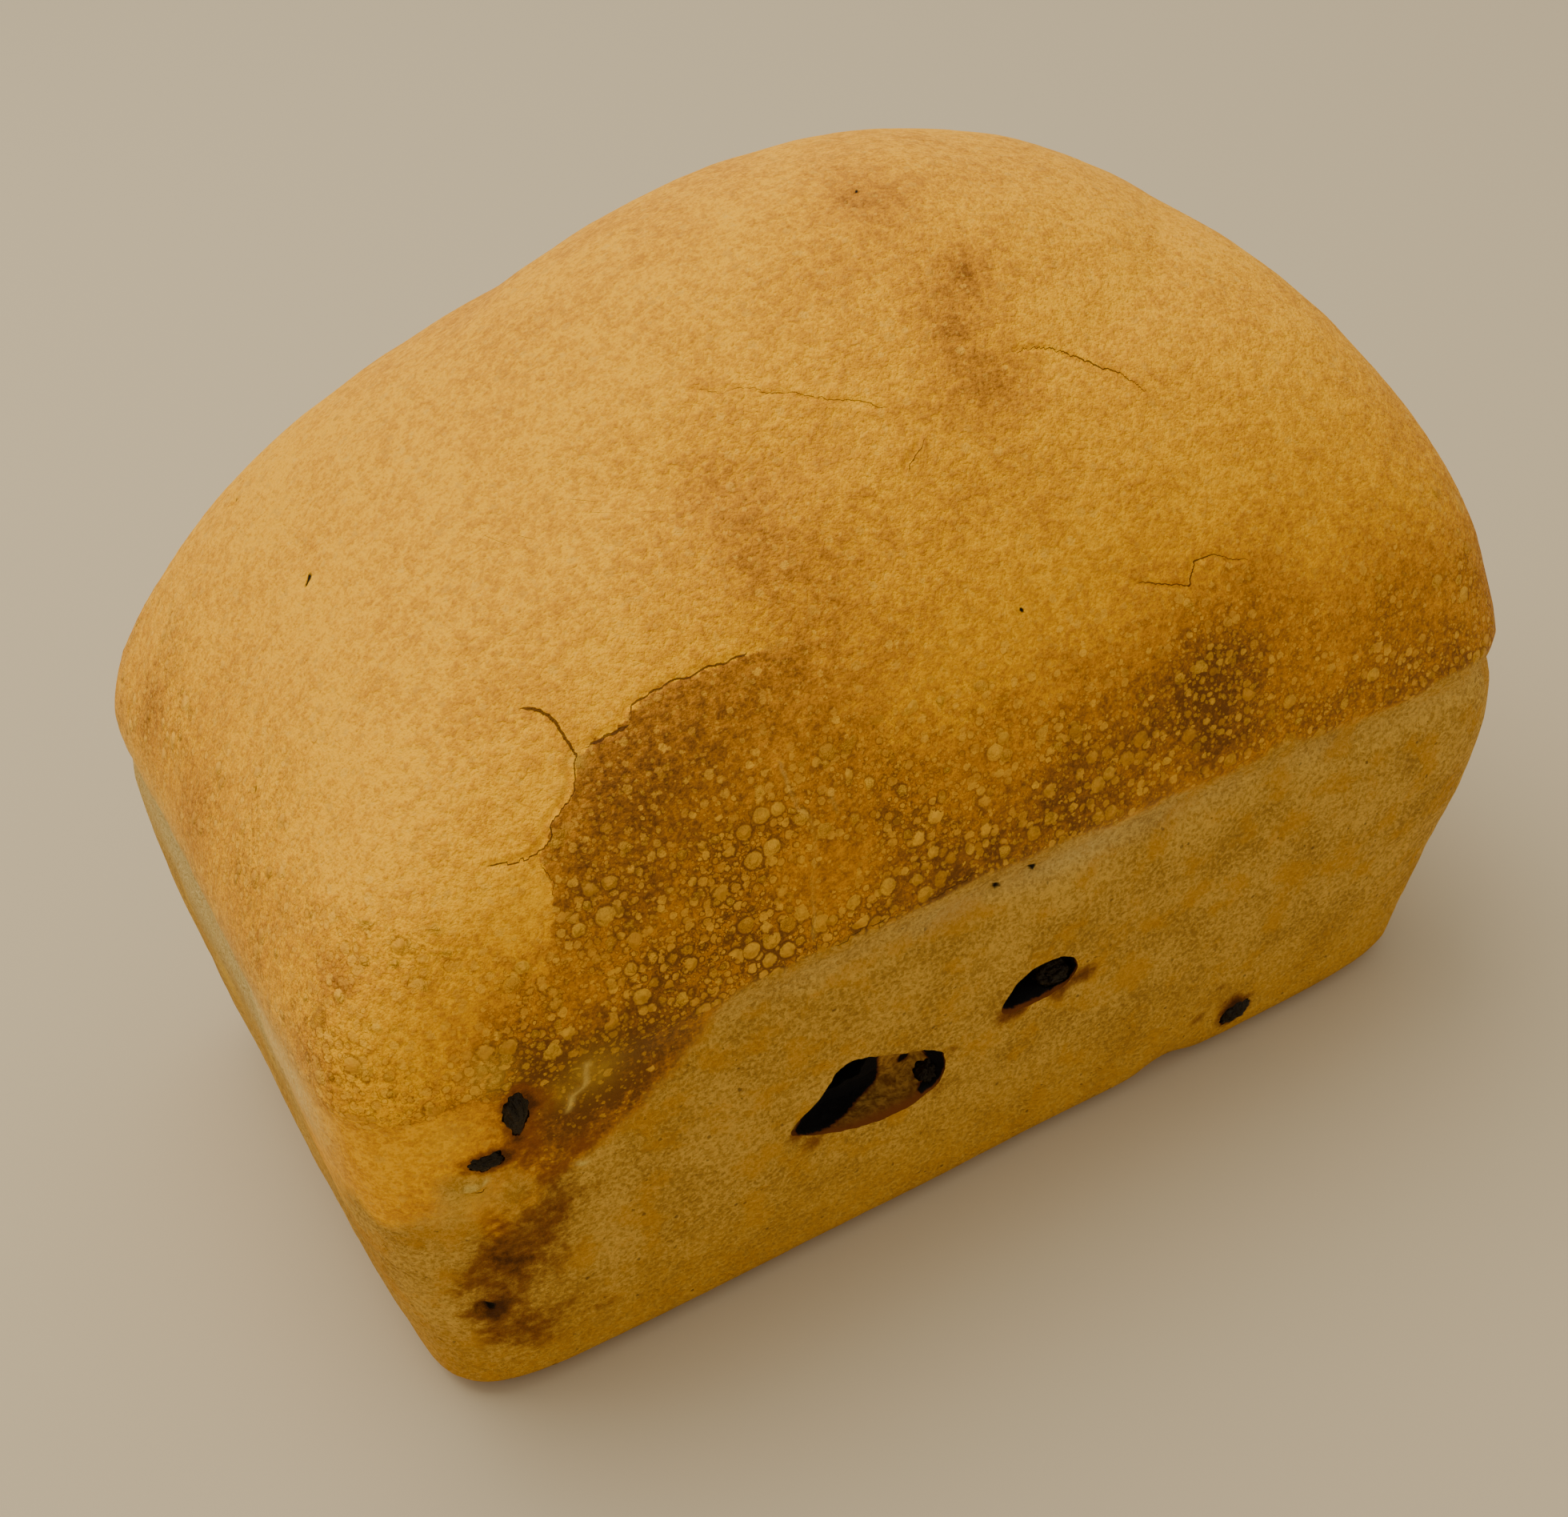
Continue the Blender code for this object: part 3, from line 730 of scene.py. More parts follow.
def hollow_cutter(corners, depth, shift, lip):
    """A closed plug with torn, crumbly sides, which narrows as it runs in from the wall."""
    loop = smooth_loop(corners, HOLLOW_SIDES)
    flat = np.column_stack((loop[:, 0], np.zeros(len(loop)), loop[:, 1]))
    ragged, tooth = MOUTH_RAGGED
    loop[:, 0] += ragged * noise_at(flat, tooth, 1.0)
    loop[:, 1] += ragged * noise_at(flat, tooth, 2.0)
    middle = loop.mean(axis=0)
    low = np.clip((middle[1] - loop[:, 1]) / (middle[1] - loop[:, 1].min()), 0, 1)
    x, z = loop.T
    front = wall_y(x, z)
    steps = max(8, int(depth / RING_STEP))
    stops = [(-1, 1.0)]
    stops += [(k / steps, 1.0) for k in range(steps + 1)]
    stops += [(1, k / 10) for k in range(9, 0, -1)]
    rings = []
    for reach, size in stops:
        inner = max(reach, 0)
        scale = (1 - HOLLOW_TAPER * inner**2) * size
        rounded = lip * low * min(1, inner * depth / LIP_REACH) ** 0.5
        px = middle[0] + (x - middle[0]) * scale + shift[0] * inner
        pz = middle[1] + (z - middle[1]) * scale + shift[1] * inner + rounded * size
        py = front + (inner * depth if reach >= 0 else -MOUTH_REACH)
        ring = np.column_stack((px, py, pz))
        rough = min(1, inner * depth / ROUGH_REACH)
        if rough > 0:
            for axis in range(3):
                for strength, lump, seed in HOLLOW_ROUGH:
                    ring[:, axis] += rough * strength * noise_at(ring, lump, seed + axis)
        rings.append(ring)
    plug = bmesh.new()
    rows = [[plug.verts.new(point) for point in ring] for ring in rings]
    for row, after in zip(rows, rows[1:]):
        for k in range(HOLLOW_SIDES):
            j = (k + 1) % HOLLOW_SIDES
            plug.faces.new((row[k], row[j], after[j], after[k]))
    plug.faces.new(rows[0])
    plug.faces.new(list(reversed(rows[-1])))
    bmesh.ops.recalc_face_normals(plug, faces=plug.faces)
    return plug


def raisin_shape(centre, halves, turn, seed, detail):
    """A wrinkled oval."""
    shape = bmesh.new()
    bmesh.ops.create_icosphere(shape, subdivisions=detail, radius=1.0)
    spin = Euler([math.radians(angle) for angle in turn]).to_matrix()
    (fold_depth, fold_scale), (crease_depth, crease_scale) = RAISIN_WRINKLES
    for vertex in shape.verts:
        fold = 1 - 2 * abs(noise.noise(vertex.co * fold_scale + Vector((seed, 0, 0))))
        crease = 1 - 2 * abs(noise.noise(vertex.co * crease_scale + Vector((0, seed, 0))))
        length = 1 - fold_depth * fold - crease_depth * crease
        local = Vector([vertex.co[k] * halves[k] * length for k in range(3)])
        vertex.co = Vector(centre) + spin @ local
    return shape


def crater_shape(centre, halves, turn, seed):
    """The pocket of a raisin, whose crumbly wall here and there laps over the fruit."""
    shape = raisin_shape(centre, halves, turn, seed, POCKET_DETAIL)
    large, small = LAP_SIZES
    for vertex in shape.verts:
        out = (vertex.co - Vector(centre)).normalized()
        swing = 0.4 + noise.noise(vertex.co / large) + 0.5 * noise.noise(vertex.co / small)
        vertex.co += out * LAP * swing
    return shape


def cut_hollows(bread, crust, crumb):
    """Cuts the torn hollow, the smaller hole and each raisin's pocket, in one step, and gives
    the faces that the cut leaves the crumb's material."""
    tools = bpy.data.collections.new("cutters")
    bpy.context.scene.collection.children.link(tools)
    shapes = [(name, hollow_cutter(*sizes)) for name, *sizes in HOLLOWS]
    for seed, (name, centre, halves, turn) in enumerate(RAISINS):
        shapes.append((name + "_pocket", crater_shape(centre, halves, turn, seed * SEED_STEP)))
    skins = []
    for name, shape in shapes:
        skins.append(BVHTree.FromBMesh(shape))
        mesh = bpy.data.meshes.new(name)
        shape.to_mesh(mesh)
        shape.free()
        tools.objects.link(bpy.data.objects.new(name, mesh))
    step = bread.modifiers.new("hollows", "BOOLEAN")
    step.operation = "DIFFERENCE"
    step.operand_type = "COLLECTION"
    step.collection = tools
    step.solver = "MANIFOLD"
    seen = bread.evaluated_get(bpy.context.evaluated_depsgraph_get())
    whole = bread.data
    bread.data = bpy.data.meshes.new_from_object(seen)
    bread.modifiers.clear()
    bpy.data.meshes.remove(whole)
    for item in list(tools.objects):
        bpy.data.objects.remove(item, do_unlink=True)
    bpy.data.collections.remove(tools)
    bread.data.materials.clear()
    bread.data.materials.append(crust)
    bread.data.materials.append(crumb)
    on_cut = [
        vertex.co.y < -0.02 and any(skin.find_nearest(vertex.co, 2e-6)[0] for skin in skins)
        for vertex in bread.data.vertices
    ]
    for face in bread.data.polygons:
        face.material_index = 1 if all(on_cut[index] for index in face.vertices) else 0


def raisin_gap(points):
    """How far each point lies outside the nearest raisin."""
    gap = np.full(len(points), 1.0)
    for _, centre, halves, turn in RAISINS:
        spin = np.array(Euler([math.radians(angle) for angle in turn]).to_matrix())
        local = (points - np.array(centre)) @ spin / np.array(halves)
        gap = np.minimum(gap, (np.linalg.norm(local, axis=1) - 1) * min(halves))
    return np.maximum(gap, 0)


def gap_to_loop(x, z, corners):
    """How far points lie outside the smooth loop through these corners; less than 0 inside."""
    loop = smooth_loop(corners, SHADE_LOOP_SIDES)
    found = np.zeros(len(x), dtype=bool)
    gap = np.full(len(x), 1.0)
    for (x0, z0), (x1, z1) in zip(loop, np.roll(loop, -1, axis=0)):
        between = (z0 > z) != (z1 > z)
        cross = x0 + (z - z0) / (z1 - z0 + 1e-12) * (x1 - x0)
        found ^= between & (x < cross)
        run = (x1 - x0) ** 2 + (z1 - z0) ** 2
        share = np.clip(((x - x0) * (x1 - x0) + (z - z0) * (z1 - z0)) / run, 0, 1)
        gap = np.minimum(gap, np.hypot(x - x0 - share * (x1 - x0), z - z0 - share * (z1 - z0)))
    return np.where(found, -gap, gap)


def store(mesh, name, values):
    layer = mesh.attributes.new(name, "FLOAT", "POINT")
    layer.data.foreach_set("value", np.ascontiguousarray(values, dtype=np.float32))


def crust_brown(points, target):
    """How brown the crust is, before the dark patch's edge is drawn."""
    x, y, z = points.T
    over = z - rim_line(x)
    corner = near_left_corner(x, y)
    left = slope(x, *LEFT_PART)
    band = up_to(over, 0.009, 0.013) * slope(over + 0.02 * corner, -0.0030, -0.0010)
    brown = BAND_BROWN * band * (0.85 + waves(points, BAND_WAVES)) * (1 - 0.85 * left)
    along_rim = hump(over, 0.0015, 0.0045) * slope(y, *FRONT_PART) * (1 - corner)
    brown += RIM_BROWN * along_rim * np.clip(0.6 + waves(points, RIM_WAVES), 0, 1.2)
    brown += FOLD_BROWN * corner * slope(over, 0.004, -0.002) * slope(x, *FOLD_PART)
    left_end = slope(x, *LEFT_END_X) * slope(y, *LEFT_END_Y)
    brown += LEFT_END_BROWN * left_end * up_to(over, 0.006, 0.008)
    brown += PLAIN_BROWN - LEFT_PALER * left + waves(points, PLAIN_WAVES)
    brown += RIGHT_BROWN * slope(x, *RIGHT_PART) * slope(z, *CROWN_FOOT)
    return brown + spot_mask(points, BROWNED, target, BROWNED_FIRMNESS)


def paint_brown(mesh, points, normals, target, edge):
    """The brown on either side of the dark patch's edge, and the distance to that edge."""
    brown = crust_brown(points, target)
    side, _, from_end = nearest_on_lines(points, [edge], normals)
    near = slope(from_end, 0, EDGE_END * MM) * hump(side, 0, EDGE_REACH * MM)
    store(mesh, "brown_light", brown * (1 - 0.92 * near))
    store(mesh, "brown_dark", brown + 0.06 * near)
    store(mesh, "side", np.clip(side / MM, -20, 20))


def paint_pale(mesh, points, target):
    """The pale spots, and the pale strip under the rim in front; at the left end the strip and some spots
    are a painted highlight, where the light falls on that end.
    """
    x, y, z = points.T
    over = z - rim_line(x)
    under = hump(over, -0.0035, 0.0022) * (0.35 + waves(points, PALE_WAVES))
    under *= (1 - near_left_corner(x, y)) * (0.25 + hump(x, 0.004, 0.026))
    # A painted highlight on the left end, which faces the light
    strip = slope(x, *LIT_END_X) * slope(y, *LIT_END_Y) * (1 - 0.6 * slope(y, *LIT_END_BACK))
    under += 0.85 * strip * hump(over, -0.006, 0.0065)
    store(mesh, "pale", np.clip(spot_mask(points, PALE_AND_LIT_SPOTS, target), 0, 1))
    store(mesh, "under_rim_and_lit_end", np.clip(under, 0, 1))


def paint_wall(mesh, points, target):
    """Where the duller walls start, their golden foot, their stains and their blotches."""
    x, y, z = points.T
    corner = near_left_corner(x, y)
    ragged = (0.16 + corner) * waves(points, RAGGED_WAVES)
    top = rim_line(x) - 0.0008 - 0.014 * corner + ragged
    softness = 0.0010 + 0.0035 * corner
    strength, reach = STAIN_ROUND_RAISINS
    stain = spot_mask(points, STAINED, target) + strength * hump(raisin_gap(points), 0, reach)
    store(mesh, "wall", np.clip((top - z) / softness, 0, 1))
    store(mesh, "low", np.clip(1.25 - z / 0.016, 0, 1))
    store(mesh, "stain", np.clip(stain, 0, 1))
    store(mesh, "mottle", 0.5 + waves(points, MOTTLE_WAVES))
    store(mesh, "blotch", 0.5 + waves(points, BLOTCH_WAVES))


def paint_marks(mesh, points, normals, target, lines, ridges):
    """The distance to the cracks of each group, their half widths, and the ridges and pits."""
    for group in "ab":
        chosen = [(line, width) for line, (name, width, _) in zip(lines, CRACKS) if name == group]
        gap, which, from_end = nearest_on_lines(points, [line for line, _ in chosen], normals)
        ends = slope(from_end, 0, CRACK_END * MM)
        widths = np.array([width for _, width in chosen])[which]
        store(mesh, "crack_" + group, np.clip(gap / MM, -3, 3))
        store(mesh, "wide_" + group, widths * ends - 0.10 * (1 - ends))
    gap, which, from_end = nearest_on_lines(points, ridges)
    wide, _, paleness = np.array([sizes[1:] for sizes in RIDGES])[which].T
    ends = slope(from_end, 0, RIDGE_END * MM)
    store(mesh, "ridge", paleness * ends * hump(gap, 0, wide * MM))
    # Where the pits are, for their relief and their painted shade
    store(mesh, "pit", np.max([pit for _, pit in pits(points, target)], axis=0))


def paint_hollows(mesh, points):
    """How deep behind the wall each point is, and where shade is painted black on the crumb."""
    x, y, z = points.T
    depth = np.clip((y - wall_y(x, z)) / MM, 0, 15)
    shown_x = x - SIGHT_SHIFT[0] * depth * MM
    shown_z = z - SIGHT_SHIFT[1] * depth * MM
    gap = np.hypot(shown_x - PORE[0], shown_z - PORE[1]) - PORE[2]
    for corners in (HOLLOW_SHADE_OUTLINE, HOLE_OUTLINE, CRESCENT_OUTLINE):
        gap = np.minimum(gap, gap_to_loop(shown_x, shown_z, corners))
    painted_shade_share = np.clip(0.5 - gap / (SHADE_SOFTNESS * MM), 0, 1) * slope(depth, 0.2, 0.8)
    store(mesh, "depth", depth)
    store(mesh, "hollow_shade", np.maximum(painted_shade_share, slope(depth, *SHADE_DEPTH)))


def paint_masks(bread, target, lines, ridges):
    """Stores on each point how browned, pale, stained, blistered and cracked the crust is, and where shade
    and a highlight are painted.
    """
    mesh = bread.data
    points = np.empty(len(mesh.vertices) * 3)
    mesh.vertices.foreach_get("co", points)
    points = points.reshape(-1, 3)
    normals = np.array([vertex.normal for vertex in mesh.vertices])
    edge = target.line(BROWN_EDGE)
    store(mesh, "dense", bubble_density(points, edge))
    paint_brown(mesh, points, normals, target, edge)
    paint_pale(mesh, points, target)
    paint_wall(mesh, points, target)
    paint_marks(mesh, points, normals, target, lines, ridges)
    paint_hollows(mesh, points)


class Nodes:
    """Short calls for building a material's node tree."""

    def __init__(self, name):
        self.material = bpy.data.materials.new(name)
        self.material.use_nodes = True
        self.tree = self.material.node_tree
        self.shader = self.tree.nodes["Principled BSDF"]
        self.place = self.new("TexCoord").outputs["Object"]

    def new(self, kind):
        return self.tree.nodes.new("ShaderNode" + kind)

    def feed(self, socket, value):
        if isinstance(value, bpy.types.NodeSocket):
            self.tree.links.new(value, socket)
        elif isinstance(value, tuple):
            socket.default_value = (*value, 1.0)
        else:
            socket.default_value = value

    def attribute(self, name):
        node = self.new("Attribute")
        node.attribute_name = name
        return node.outputs["Fac"]

    def math(self, operation, a, b=0.0):
        node = self.new("Math")
        node.operation = operation
        self.feed(node.inputs[0], a)
        self.feed(node.inputs[1], b)
        return node.outputs[0]

    def total(self, *terms):
        result = terms[0]
        for term in terms[1:]:
            result = self.math("ADD", result, term)
        return result

    def times(self, a, b):
        return self.math("MULTIPLY", a, b)

    def ease(self, value, low, high, start=0.0, end=1.0):
        node = self.new("MapRange")
        node.interpolation_type = "SMOOTHSTEP"
        for name, setting in (("From Min", low), ("From Max", high), ("To Min", start), ("To Max", end)):
            node.inputs[name].default_value = setting
        self.feed(node.inputs["Value"], value)
        return node.outputs["Result"]

    def mix(self, share, a, b):
        node = self.new("Mix")
        node.data_type = "RGBA"
        self.feed(node.inputs[0], share)
        self.feed(node.inputs[6], a)
        self.feed(node.inputs[7], b)
        return node.outputs[2]

    def mix_values(self, share, a, b):
        node = self.new("Mix")
        self.feed(node.inputs[0], share)
        self.feed(node.inputs[2], a)
        self.feed(node.inputs[3], b)
        return node.outputs[0]

    def noise(self, size, detail, rough):
        """Noise with lumps of this size in millimetres."""
        node = self.new("TexNoise")
        node.inputs["Scale"].default_value = 1 / (size * MM)
        node.inputs["Detail"].default_value = detail
        node.inputs["Roughness"].default_value = rough
        self.feed(node.inputs["Vector"], self.place)
        return node.outputs["Fac"]

    def shaken(self, a, b, reach):
        """The place on the object, pushed about by two noises, at most this far in millimetres."""
        both = self.new("CombineXYZ")
        for socket, value in zip(both.inputs, (a, b, a)):
            self.feed(socket, value)
        push = self.new("VectorMath")
        push.operation = "MULTIPLY_ADD"
        self.feed(push.inputs[0], both.outputs[0])
        push.inputs[1].default_value = (reach * MM, reach * MM, -reach * MM)
        self.feed(push.inputs[2], self.place)
        return push.outputs[0]

    def discs(self, size, chance, place):
        """Round discs in cells of this size in millimetres: dome, mask, a ring of painted shade round it,
        and tone.
        """
        node = self.new("TexVoronoi")
        node.inputs["Scale"].default_value = 1 / (size * MM)
        self.feed(node.inputs["Vector"], place)
        parts = self.new("SeparateColor")
        self.feed(parts.inputs[0], node.outputs["Color"])
        radius = self.ease(parts.outputs[0], 0.0, 1.0, 0.22, 0.58)
        cone = self.math("SUBTRACT", 1.0, self.math("DIVIDE", node.outputs["Distance"], radius))
        shown = self.math("LESS_THAN", parts.outputs[1], chance)
        dome = self.times(self.ease(cone, 0.0, 0.8), shown)
        mask = self.times(self.ease(cone, 0.0, 0.25), shown)
        ring = self.times(self.times(self.ease(cone, -0.40, -0.05), self.ease(cone, 0.15, 0.0)), shown)
        return dome, mask, ring, parts.outputs[2]

    def line(self, name, shake):
        """A line of painted shade from the signed distance and the half width stored on the mesh."""
        gap = self.math("ABSOLUTE", self.math("ADD", self.attribute("crack_" + name), shake))
        over = self.math("SUBTRACT", gap, self.attribute("wide_" + name))
        return self.ease(over, LINE_SOFTNESS, -LINE_SOFTNESS)

    def ramp(self, value, stops):
        node = self.new("ValToRGB")
        elements = node.color_ramp.elements
        while len(elements) < len(stops):
            elements.new(0.5)
        for element, (place, colour) in zip(elements, stops):
            element.position = place
            element.color = (*colour, 1.0)
        self.feed(node.inputs["Fac"], value)
        return node.outputs["Color"]

    def bump(self, height, strength=1.0):
        """Relief whose height is in millimetres."""
        node = self.new("Bump")
        node.inputs["Distance"].default_value = MM
        node.inputs["Strength"].default_value = strength
        self.feed(node.inputs["Height"], height)
        self.tree.links.new(node.outputs["Normal"], self.shader.inputs["Normal"])


LIGHT_GOLD = (0.94, 0.440, 0.003)
GOLD = (0.80, 0.345, 0.002)
AMBER = (0.58, 0.228, 0.012)
CHESTNUT = (0.31, 0.114, 0.015)
# Dark crust, also painted as the shade in the gaps round the blisters
DARK_CRUST_AND_SHADE = (0.16, 0.055, 0.009)
BUBBLE_SKIN = (0.88, 0.460, 0.035)
BUBBLE_DULL = (0.56, 0.250, 0.020)
WALL_GOLD = (0.80, 0.450, 0.065)
WALL_DULL = (0.42, 0.205, 0.026)
WALL_ORANGE = (0.66, 0.285, 0.018)
WALL_PORE = (0.12, 0.050, 0.010)
PALE_YELLOW = (0.88, 0.520, 0.045)
PALE_CRUST = (0.92, 0.640, 0.130)
# Pale band under the rim, and the painted highlight on the left end
PALE_BAND_AND_LIT_END = (0.72, 0.540, 0.190)
RUST = (0.23, 0.063, 0.008)
LIP = (0.14, 0.036, 0.004)
BURNT = (0.075, 0.022, 0.004)
# Painted shade in the cracks
CRACK_SHADE = (0.09, 0.030, 0.005)
# Near black, painted as the shade in the pits, the holes and the hollows
HOLE_SHADE = (0.004, 0.003, 0.002)
WARM_SHEEN = (1.0, 0.82, 0.55)
CRUMB_LIGHT = (0.46, 0.225, 0.035)
CRUMB_DARK = (0.22, 0.085, 0.012)

# Blisters: cell size in millimetres, share of cells, gain where dense, strength of the colour.
# Some of the smallest are the walls' pores, and only the largest are raised.
BLISTER_SIZES = ((0.58, 0.45, 0.9, 0.55), (1.15, 0.14, 1.3, 0.75), (2.10, -0.20, 1.3, 0.90))
BLISTER_RAISED = 0.42
BLISTER_SHAKE = 0.70
CROWN_STOPS = ((0.0, LIGHT_GOLD), (0.14, GOLD), (0.40, AMBER), (0.74, CHESTNUT), (1.0, DARK_CRUST_AND_SHADE))
SPECKLE = (1.3, 3.0, 0.64)      # size in millimetres, detail and roughness of the noise
GRAIN = (0.42, 2.0, 0.64)
CRINKLE = (0.62, 3.0, 0.70)
CRUST_GLOSS = 0.11


def crown_colour(n, speckle, grain):
    """Golden to dark brown, with a firm edge where the dark patch starts."""
    edge = n.total(n.attribute("side"), n.ease(speckle, 0.2, 0.8, -0.40, 0.40))
    level = n.mix_values(n.ease(edge, -0.10, 0.14), n.attribute("brown_light"), n.attribute("brown_dark"))
    brown = n.total(
        level,
        n.times(n.attribute("dense"), 0.08),
        n.ease(n.attribute("mottle"), 0.3, 0.7, 0.03, 0.15),
        n.ease(speckle, 0.28, 0.72, -0.16, 0.16),
        n.ease(grain, 0.3, 0.7, -0.13, 0.13),
    )
    return n.ramp(brown, CROWN_STOPS)


def add_blisters(n, base, speckle, grain):
    """Blisters of three sizes over the crust, with painted shade in the rings round them. Gives the colour,
    the largest's domes and the pores.
    """
    dense = n.attribute("dense")
    shaken = n.shaken(speckle, grain, BLISTER_SHAKE)
    colour = base
    pores = None
    for size, share, gain, strength in BLISTER_SIZES:
        dome, mask, ring, tone = n.discs(size, n.total(share, n.times(dense, gain)), shaken)
        skin = n.mix(tone, BUBBLE_DULL, BUBBLE_SKIN)
        skin = n.mix(n.ease(speckle, 0.3, 0.75, 0.12, 0.55), skin, base)
        # Painted shade in the gaps round each blister
        colour = n.mix(n.times(n.times(ring, dense), 0.9), colour, DARK_CRUST_AND_SHADE)
        colour = n.mix(n.times(mask, strength), colour, skin)
        if pores is None:
            pores = n.times(mask, n.ease(tone, 0.965, 0.97, 0.0, 0.6))
    return colour, dome, pores


def wall_colour(n, speckle, grain, crinkle, pores):
    """The duller walls, golden at their foot and rusty in blotches."""
    share = n.total(
        n.ease(n.attribute("mottle"), 0.3, 0.7, -0.22, 0.22),
        n.ease(crinkle, 0.34, 0.66, 0.10, 0.95),
        n.ease(grain, 0.3, 0.7, -0.16, 0.16),
    )
    colour = n.mix(share, WALL_DULL, WALL_GOLD)
    blotch = n.total(n.attribute("blotch"), n.ease(speckle, 0.3, 0.7, -0.06, 0.06))
    rusty = n.ease(blotch, 0.48, 0.70, 0.0, 0.60)
    low = n.times(n.attribute("low"), n.ease(speckle, 0.3, 0.7, 0.25, 0.75))
    colour = n.mix(n.math("MAXIMUM", low, rusty), colour, WALL_ORANGE)
    return n.mix(pores, colour, WALL_PORE)


def add_marks(n, colour, speckle, grain, crinkle):
    """The pale strip, spots and ridges, with a painted highlight on the left end, the stains, and the
    painted shade in the cracks and pits.
    """
    # The pale strip under the rim, and on the left end a painted highlight
    under = n.times(n.attribute("under_rim_and_lit_end"), n.ease(crinkle, 0.25, 0.7, 0.4, 1.0))
    colour = n.mix(under, colour, PALE_BAND_AND_LIT_END)
    # Pale spots, some of them a painted highlight along the left end
    pale = n.times(n.attribute("pale"), n.ease(speckle, 0.2, 0.7, 0.4, 1.0))
    colour = n.mix(pale, colour, PALE_YELLOW)
    colour = n.mix(n.attribute("ridge"), colour, PALE_CRUST)
    blotch = n.total(
        n.ease(n.attribute("blotch"), 0.3, 0.7, -0.22, 0.22),
        n.ease(speckle, 0.3, 0.7, -0.16, 0.16),
    )
    stain = n.attribute("stain")
    stain = n.total(stain, n.times(blotch, n.ease(stain, 0.0, 0.3)))
    colour = n.mix(n.times(n.ease(stain, 0.04, 0.64), 0.88), colour, RUST)
    colour = n.mix(n.times(n.ease(stain, 0.52, 1.00), 0.9), colour, BURNT)
    shake = n.ease(grain, 0.2, 0.8, -0.05, 0.05)
    # Painted shade in the cracks
    for group in "ab":
        colour = n.mix(n.times(n.line(group, shake), 0.9), colour, CRACK_SHADE)
    # The pits are painted near black, as the shade in them
    return n.mix(n.ease(n.attribute("pit"), 0.25, 0.7), colour, HOLE_SHADE)


def crust_material():
    """Baked crust: golden crown, brown blistered band, duller walls, stains and cracks, with painted shade
    and a painted highlight.
    """
    n = Nodes("crust")
    speckle = n.noise(*SPECKLE)
    grain = n.noise(*GRAIN)
    crinkle = n.noise(*CRINKLE)
    wall = n.attribute("wall")
    crown, dome, pores = add_blisters(n, crown_colour(n, speckle, grain), speckle, grain)
    colour = n.mix(wall, crown, wall_colour(n, speckle, grain, crinkle, pores))
    n.feed(n.shader.inputs["Base Color"], add_marks(n, colour, speckle, grain, crinkle))
    rough = n.total(n.ease(speckle, 0.2, 0.8, 0.50, 0.66), n.times(wall, 0.12))
    n.feed(n.shader.inputs["Roughness"], rough)
    n.shader.inputs["Specular IOR Level"].default_value = CRUST_GLOSS
    n.shader.inputs["Specular Tint"].default_value = (*WARM_SHEEN, 1)
    relief = n.total(
        n.times(dome, BLISTER_RAISED),
        n.times(speckle, 0.42),
        n.times(grain, 0.26),
        n.times(crinkle, wall),
    )
    n.bump(relief)
    return n.material


def crumb_material():
    """The torn inside: tan crumb, reddish by the mouth and round the painted shade, and painted black as
    shade deep in the hollows.
    """
    n = Nodes("crumb")
    pores = n.noise(0.8, 4.0, 0.6)
    depth = n.attribute("depth")
    tan = n.mix(n.ease(pores, 0.35, 0.65), CRUMB_DARK, CRUMB_LIGHT)
    colour = n.mix(n.ease(depth, 0.3, 2.4), LIP, tan)
    # Reddish round the painted shade, then painted black as shade deep in the hollows, in the crescent, the
    # pore and the smaller hole
    colour = n.mix(n.ease(n.attribute("hollow_shade"), 0.0, 0.5), colour, LIP)
    black = n.total(n.attribute("hollow_shade"), n.ease(pores, 0.3, 0.7, -0.12, 0.12))
    colour = n.mix(n.ease(black, 0.35, 0.65), colour, HOLE_SHADE)
    n.feed(n.shader.inputs["Base Color"], colour)
    n.shader.inputs["Roughness"].default_value = 0.85
    n.shader.inputs["Specular IOR Level"].default_value = 0.15
    n.bump(n.times(pores, 0.5), 0.8)
    return n.material


def raisin_material():
    """Dark wrinkled skin with a dusty bloom in places."""
    n = Nodes("raisin_skin")
    bloom = n.noise(0.9, 3.0, 0.6)
    stops = ((0.42, (0.004, 0.002, 0.001)), (0.62, (0.010, 0.006, 0.002)), (0.76, (0.05, 0.034, 0.012)))
    n.feed(n.shader.inputs["Base Color"], n.ramp(bloom, stops))
    n.feed(n.shader.inputs["Roughness"], n.ease(bloom, 0.3, 0.7, 0.28, 0.55))
    n.shader.inputs["Specular IOR Level"].default_value = 0.25
    n.shader.inputs["Specular Tint"].default_value = (*WARM_SHEEN, 1)
    n.bump(n.times(n.noise(0.5, 3.0, 0.6), 0.40))
    return n.material


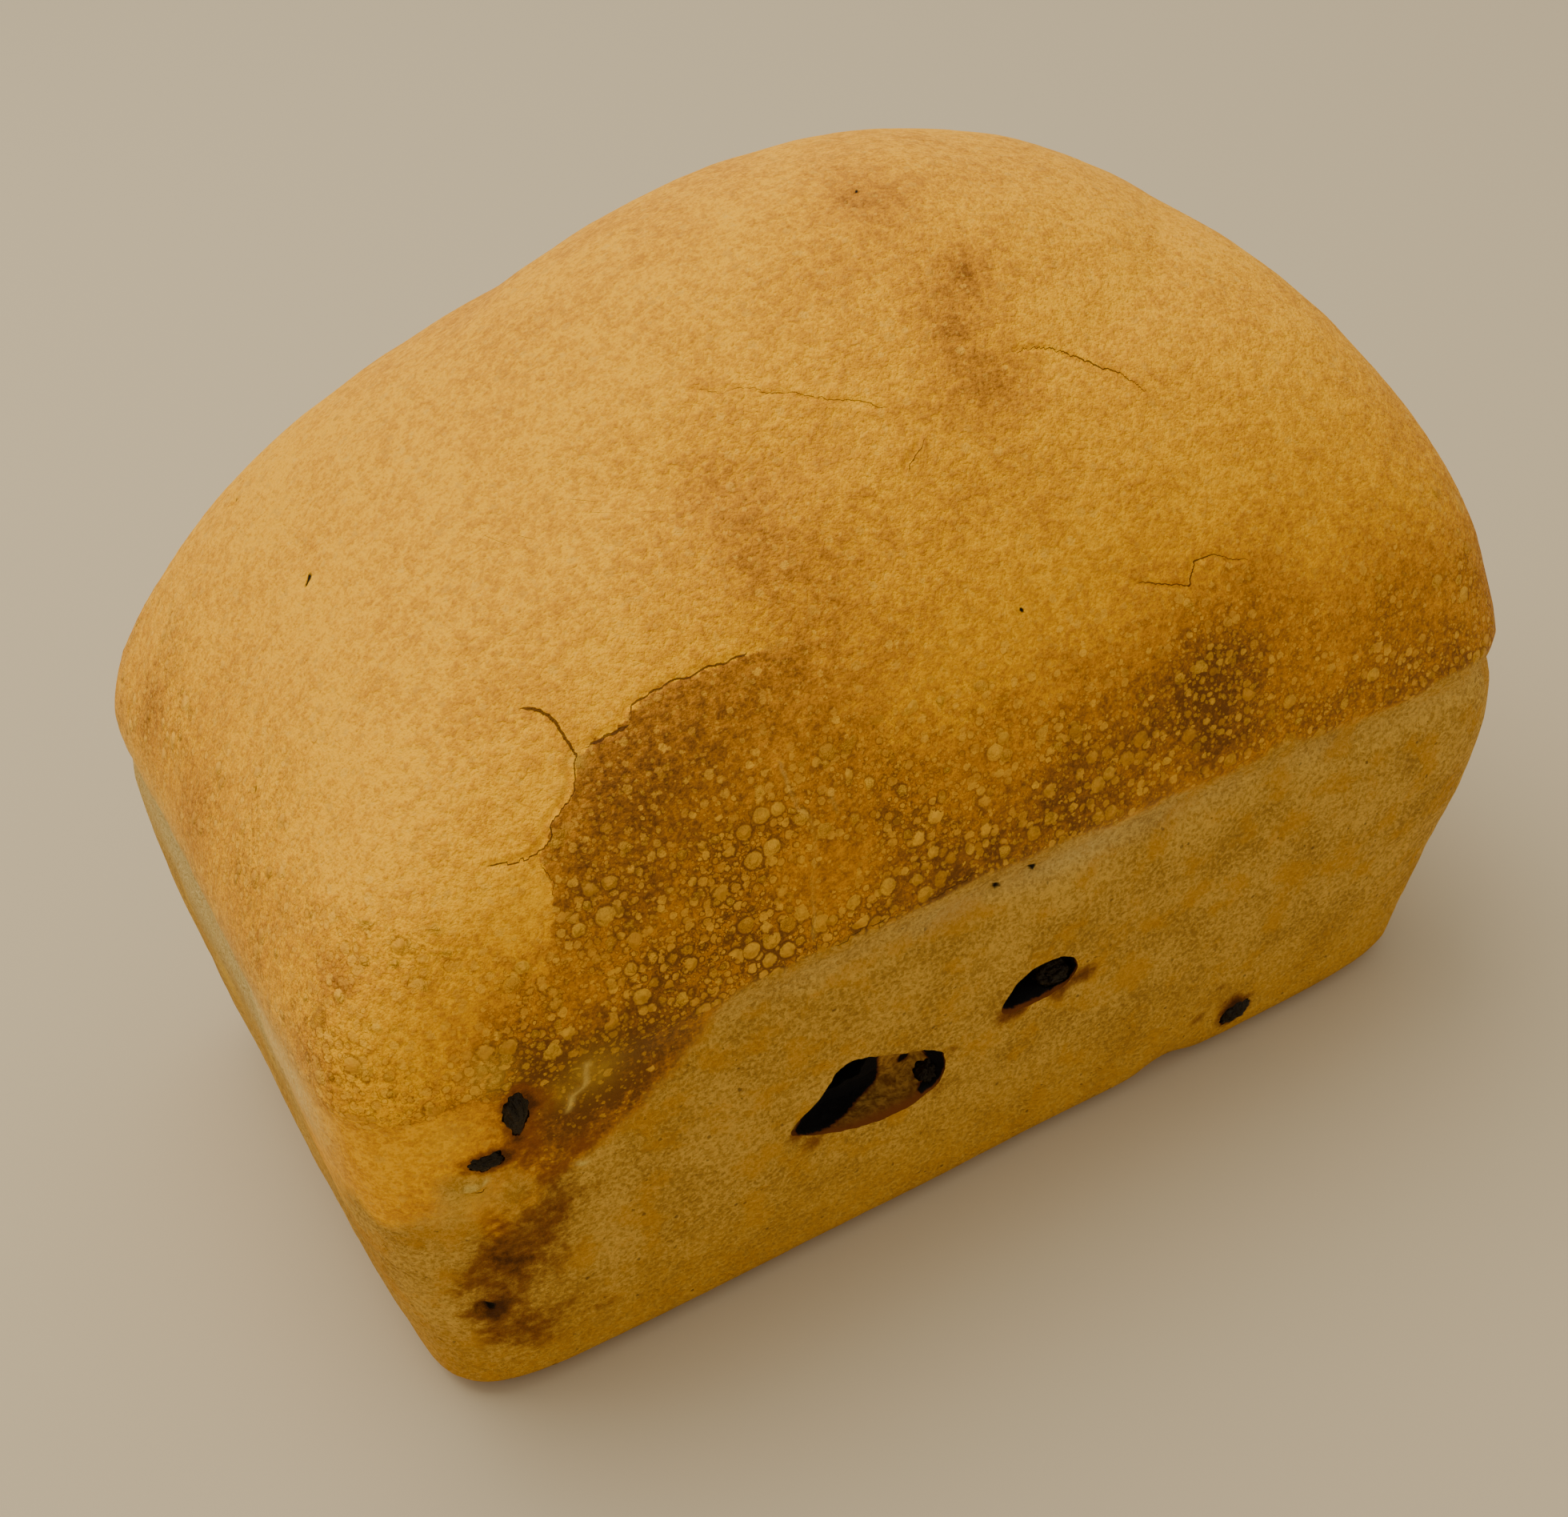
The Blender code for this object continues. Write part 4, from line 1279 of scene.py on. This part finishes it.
def dress_raisins(skin):
    """Each raisin again at full detail, in place of its plain solid."""
    for seed, (node, centre, halves, turn) in enumerate(RAISINS):
        shape = raisin_shape(centre, halves, turn, seed * SEED_STEP, RAISIN_DETAIL)
        mesh = bpy.data.meshes.new("fine_" + node)
        shape.to_mesh(mesh)
        shape.free()
        mesh.materials.append(skin)
        mesh.shade_smooth()
        piece = bpy.data.objects.new("fine_" + node, mesh)
        bpy.context.scene.collection.objects.link(piece)
        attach(piece, "root")
        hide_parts(node)


def add_floor():
    mesh = bpy.data.meshes.new("floor")
    shape = bmesh.new()
    bmesh.ops.create_grid(shape, x_segments=1, y_segments=1, size=3.0)
    shape.to_mesh(mesh)
    shape.free()
    n = Nodes("floor")
    n.shader.inputs["Base Color"].default_value = (0.54, 0.44, 0.27, 1)
    n.shader.inputs["Roughness"].default_value = 0.9
    mesh.materials.append(n.material)
    floor = bpy.data.objects.new("floor", mesh)
    bpy.context.scene.collection.objects.link(floor)
    floor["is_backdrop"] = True


def add_light(name, place, aim, size, power, colour):
    data = bpy.data.lights.new(name, "AREA")
    data.size = size
    data.energy = power
    data.color = colour
    lamp = bpy.data.objects.new(name, data)
    back = Vector(place) - Vector(aim)
    lamp.matrix_world = Matrix.Translation(Vector(place)) @ back.to_track_quat("Z", "Y").to_matrix().to_4x4()
    bpy.context.scene.collection.objects.link(lamp)


def add_lights():
    """A broad window light from the back left, over a soft even sky."""
    add_light("window", (-0.24, 0.26, 0.95), (0, 0, 0.05), 0.8, 7.8, (1.0, 0.97, 0.92))
    world = bpy.data.worlds.new("sky")
    world.use_nodes = True
    world.node_tree.nodes["Background"].inputs["Color"].default_value = (1.0, 0.97, 0.92, 1)
    world.node_tree.nodes["Background"].inputs["Strength"].default_value = 0.74
    bpy.context.scene.world = world


def main():
    add_camera()
    add_lights()
    add_floor()
    target = Target()
    bread, lines, ridges = build_bread(target)
    crust = crust_material()
    crumb = crumb_material()
    cut_hollows(bread, crust, crumb)
    paint_masks(bread, target, lines, ridges)
    bread.data.shade_smooth()
    bread.data.set_sharp_from_angle(angle=math.radians(55))
    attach(bread, "root")
    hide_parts("loaf")
    dress_raisins(raisin_material())


main()
boxes = {"cad": CAD_BOX, "visual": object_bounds()}
boxes = {name: [list(corner) for corner in box] for name, box in boxes.items()}
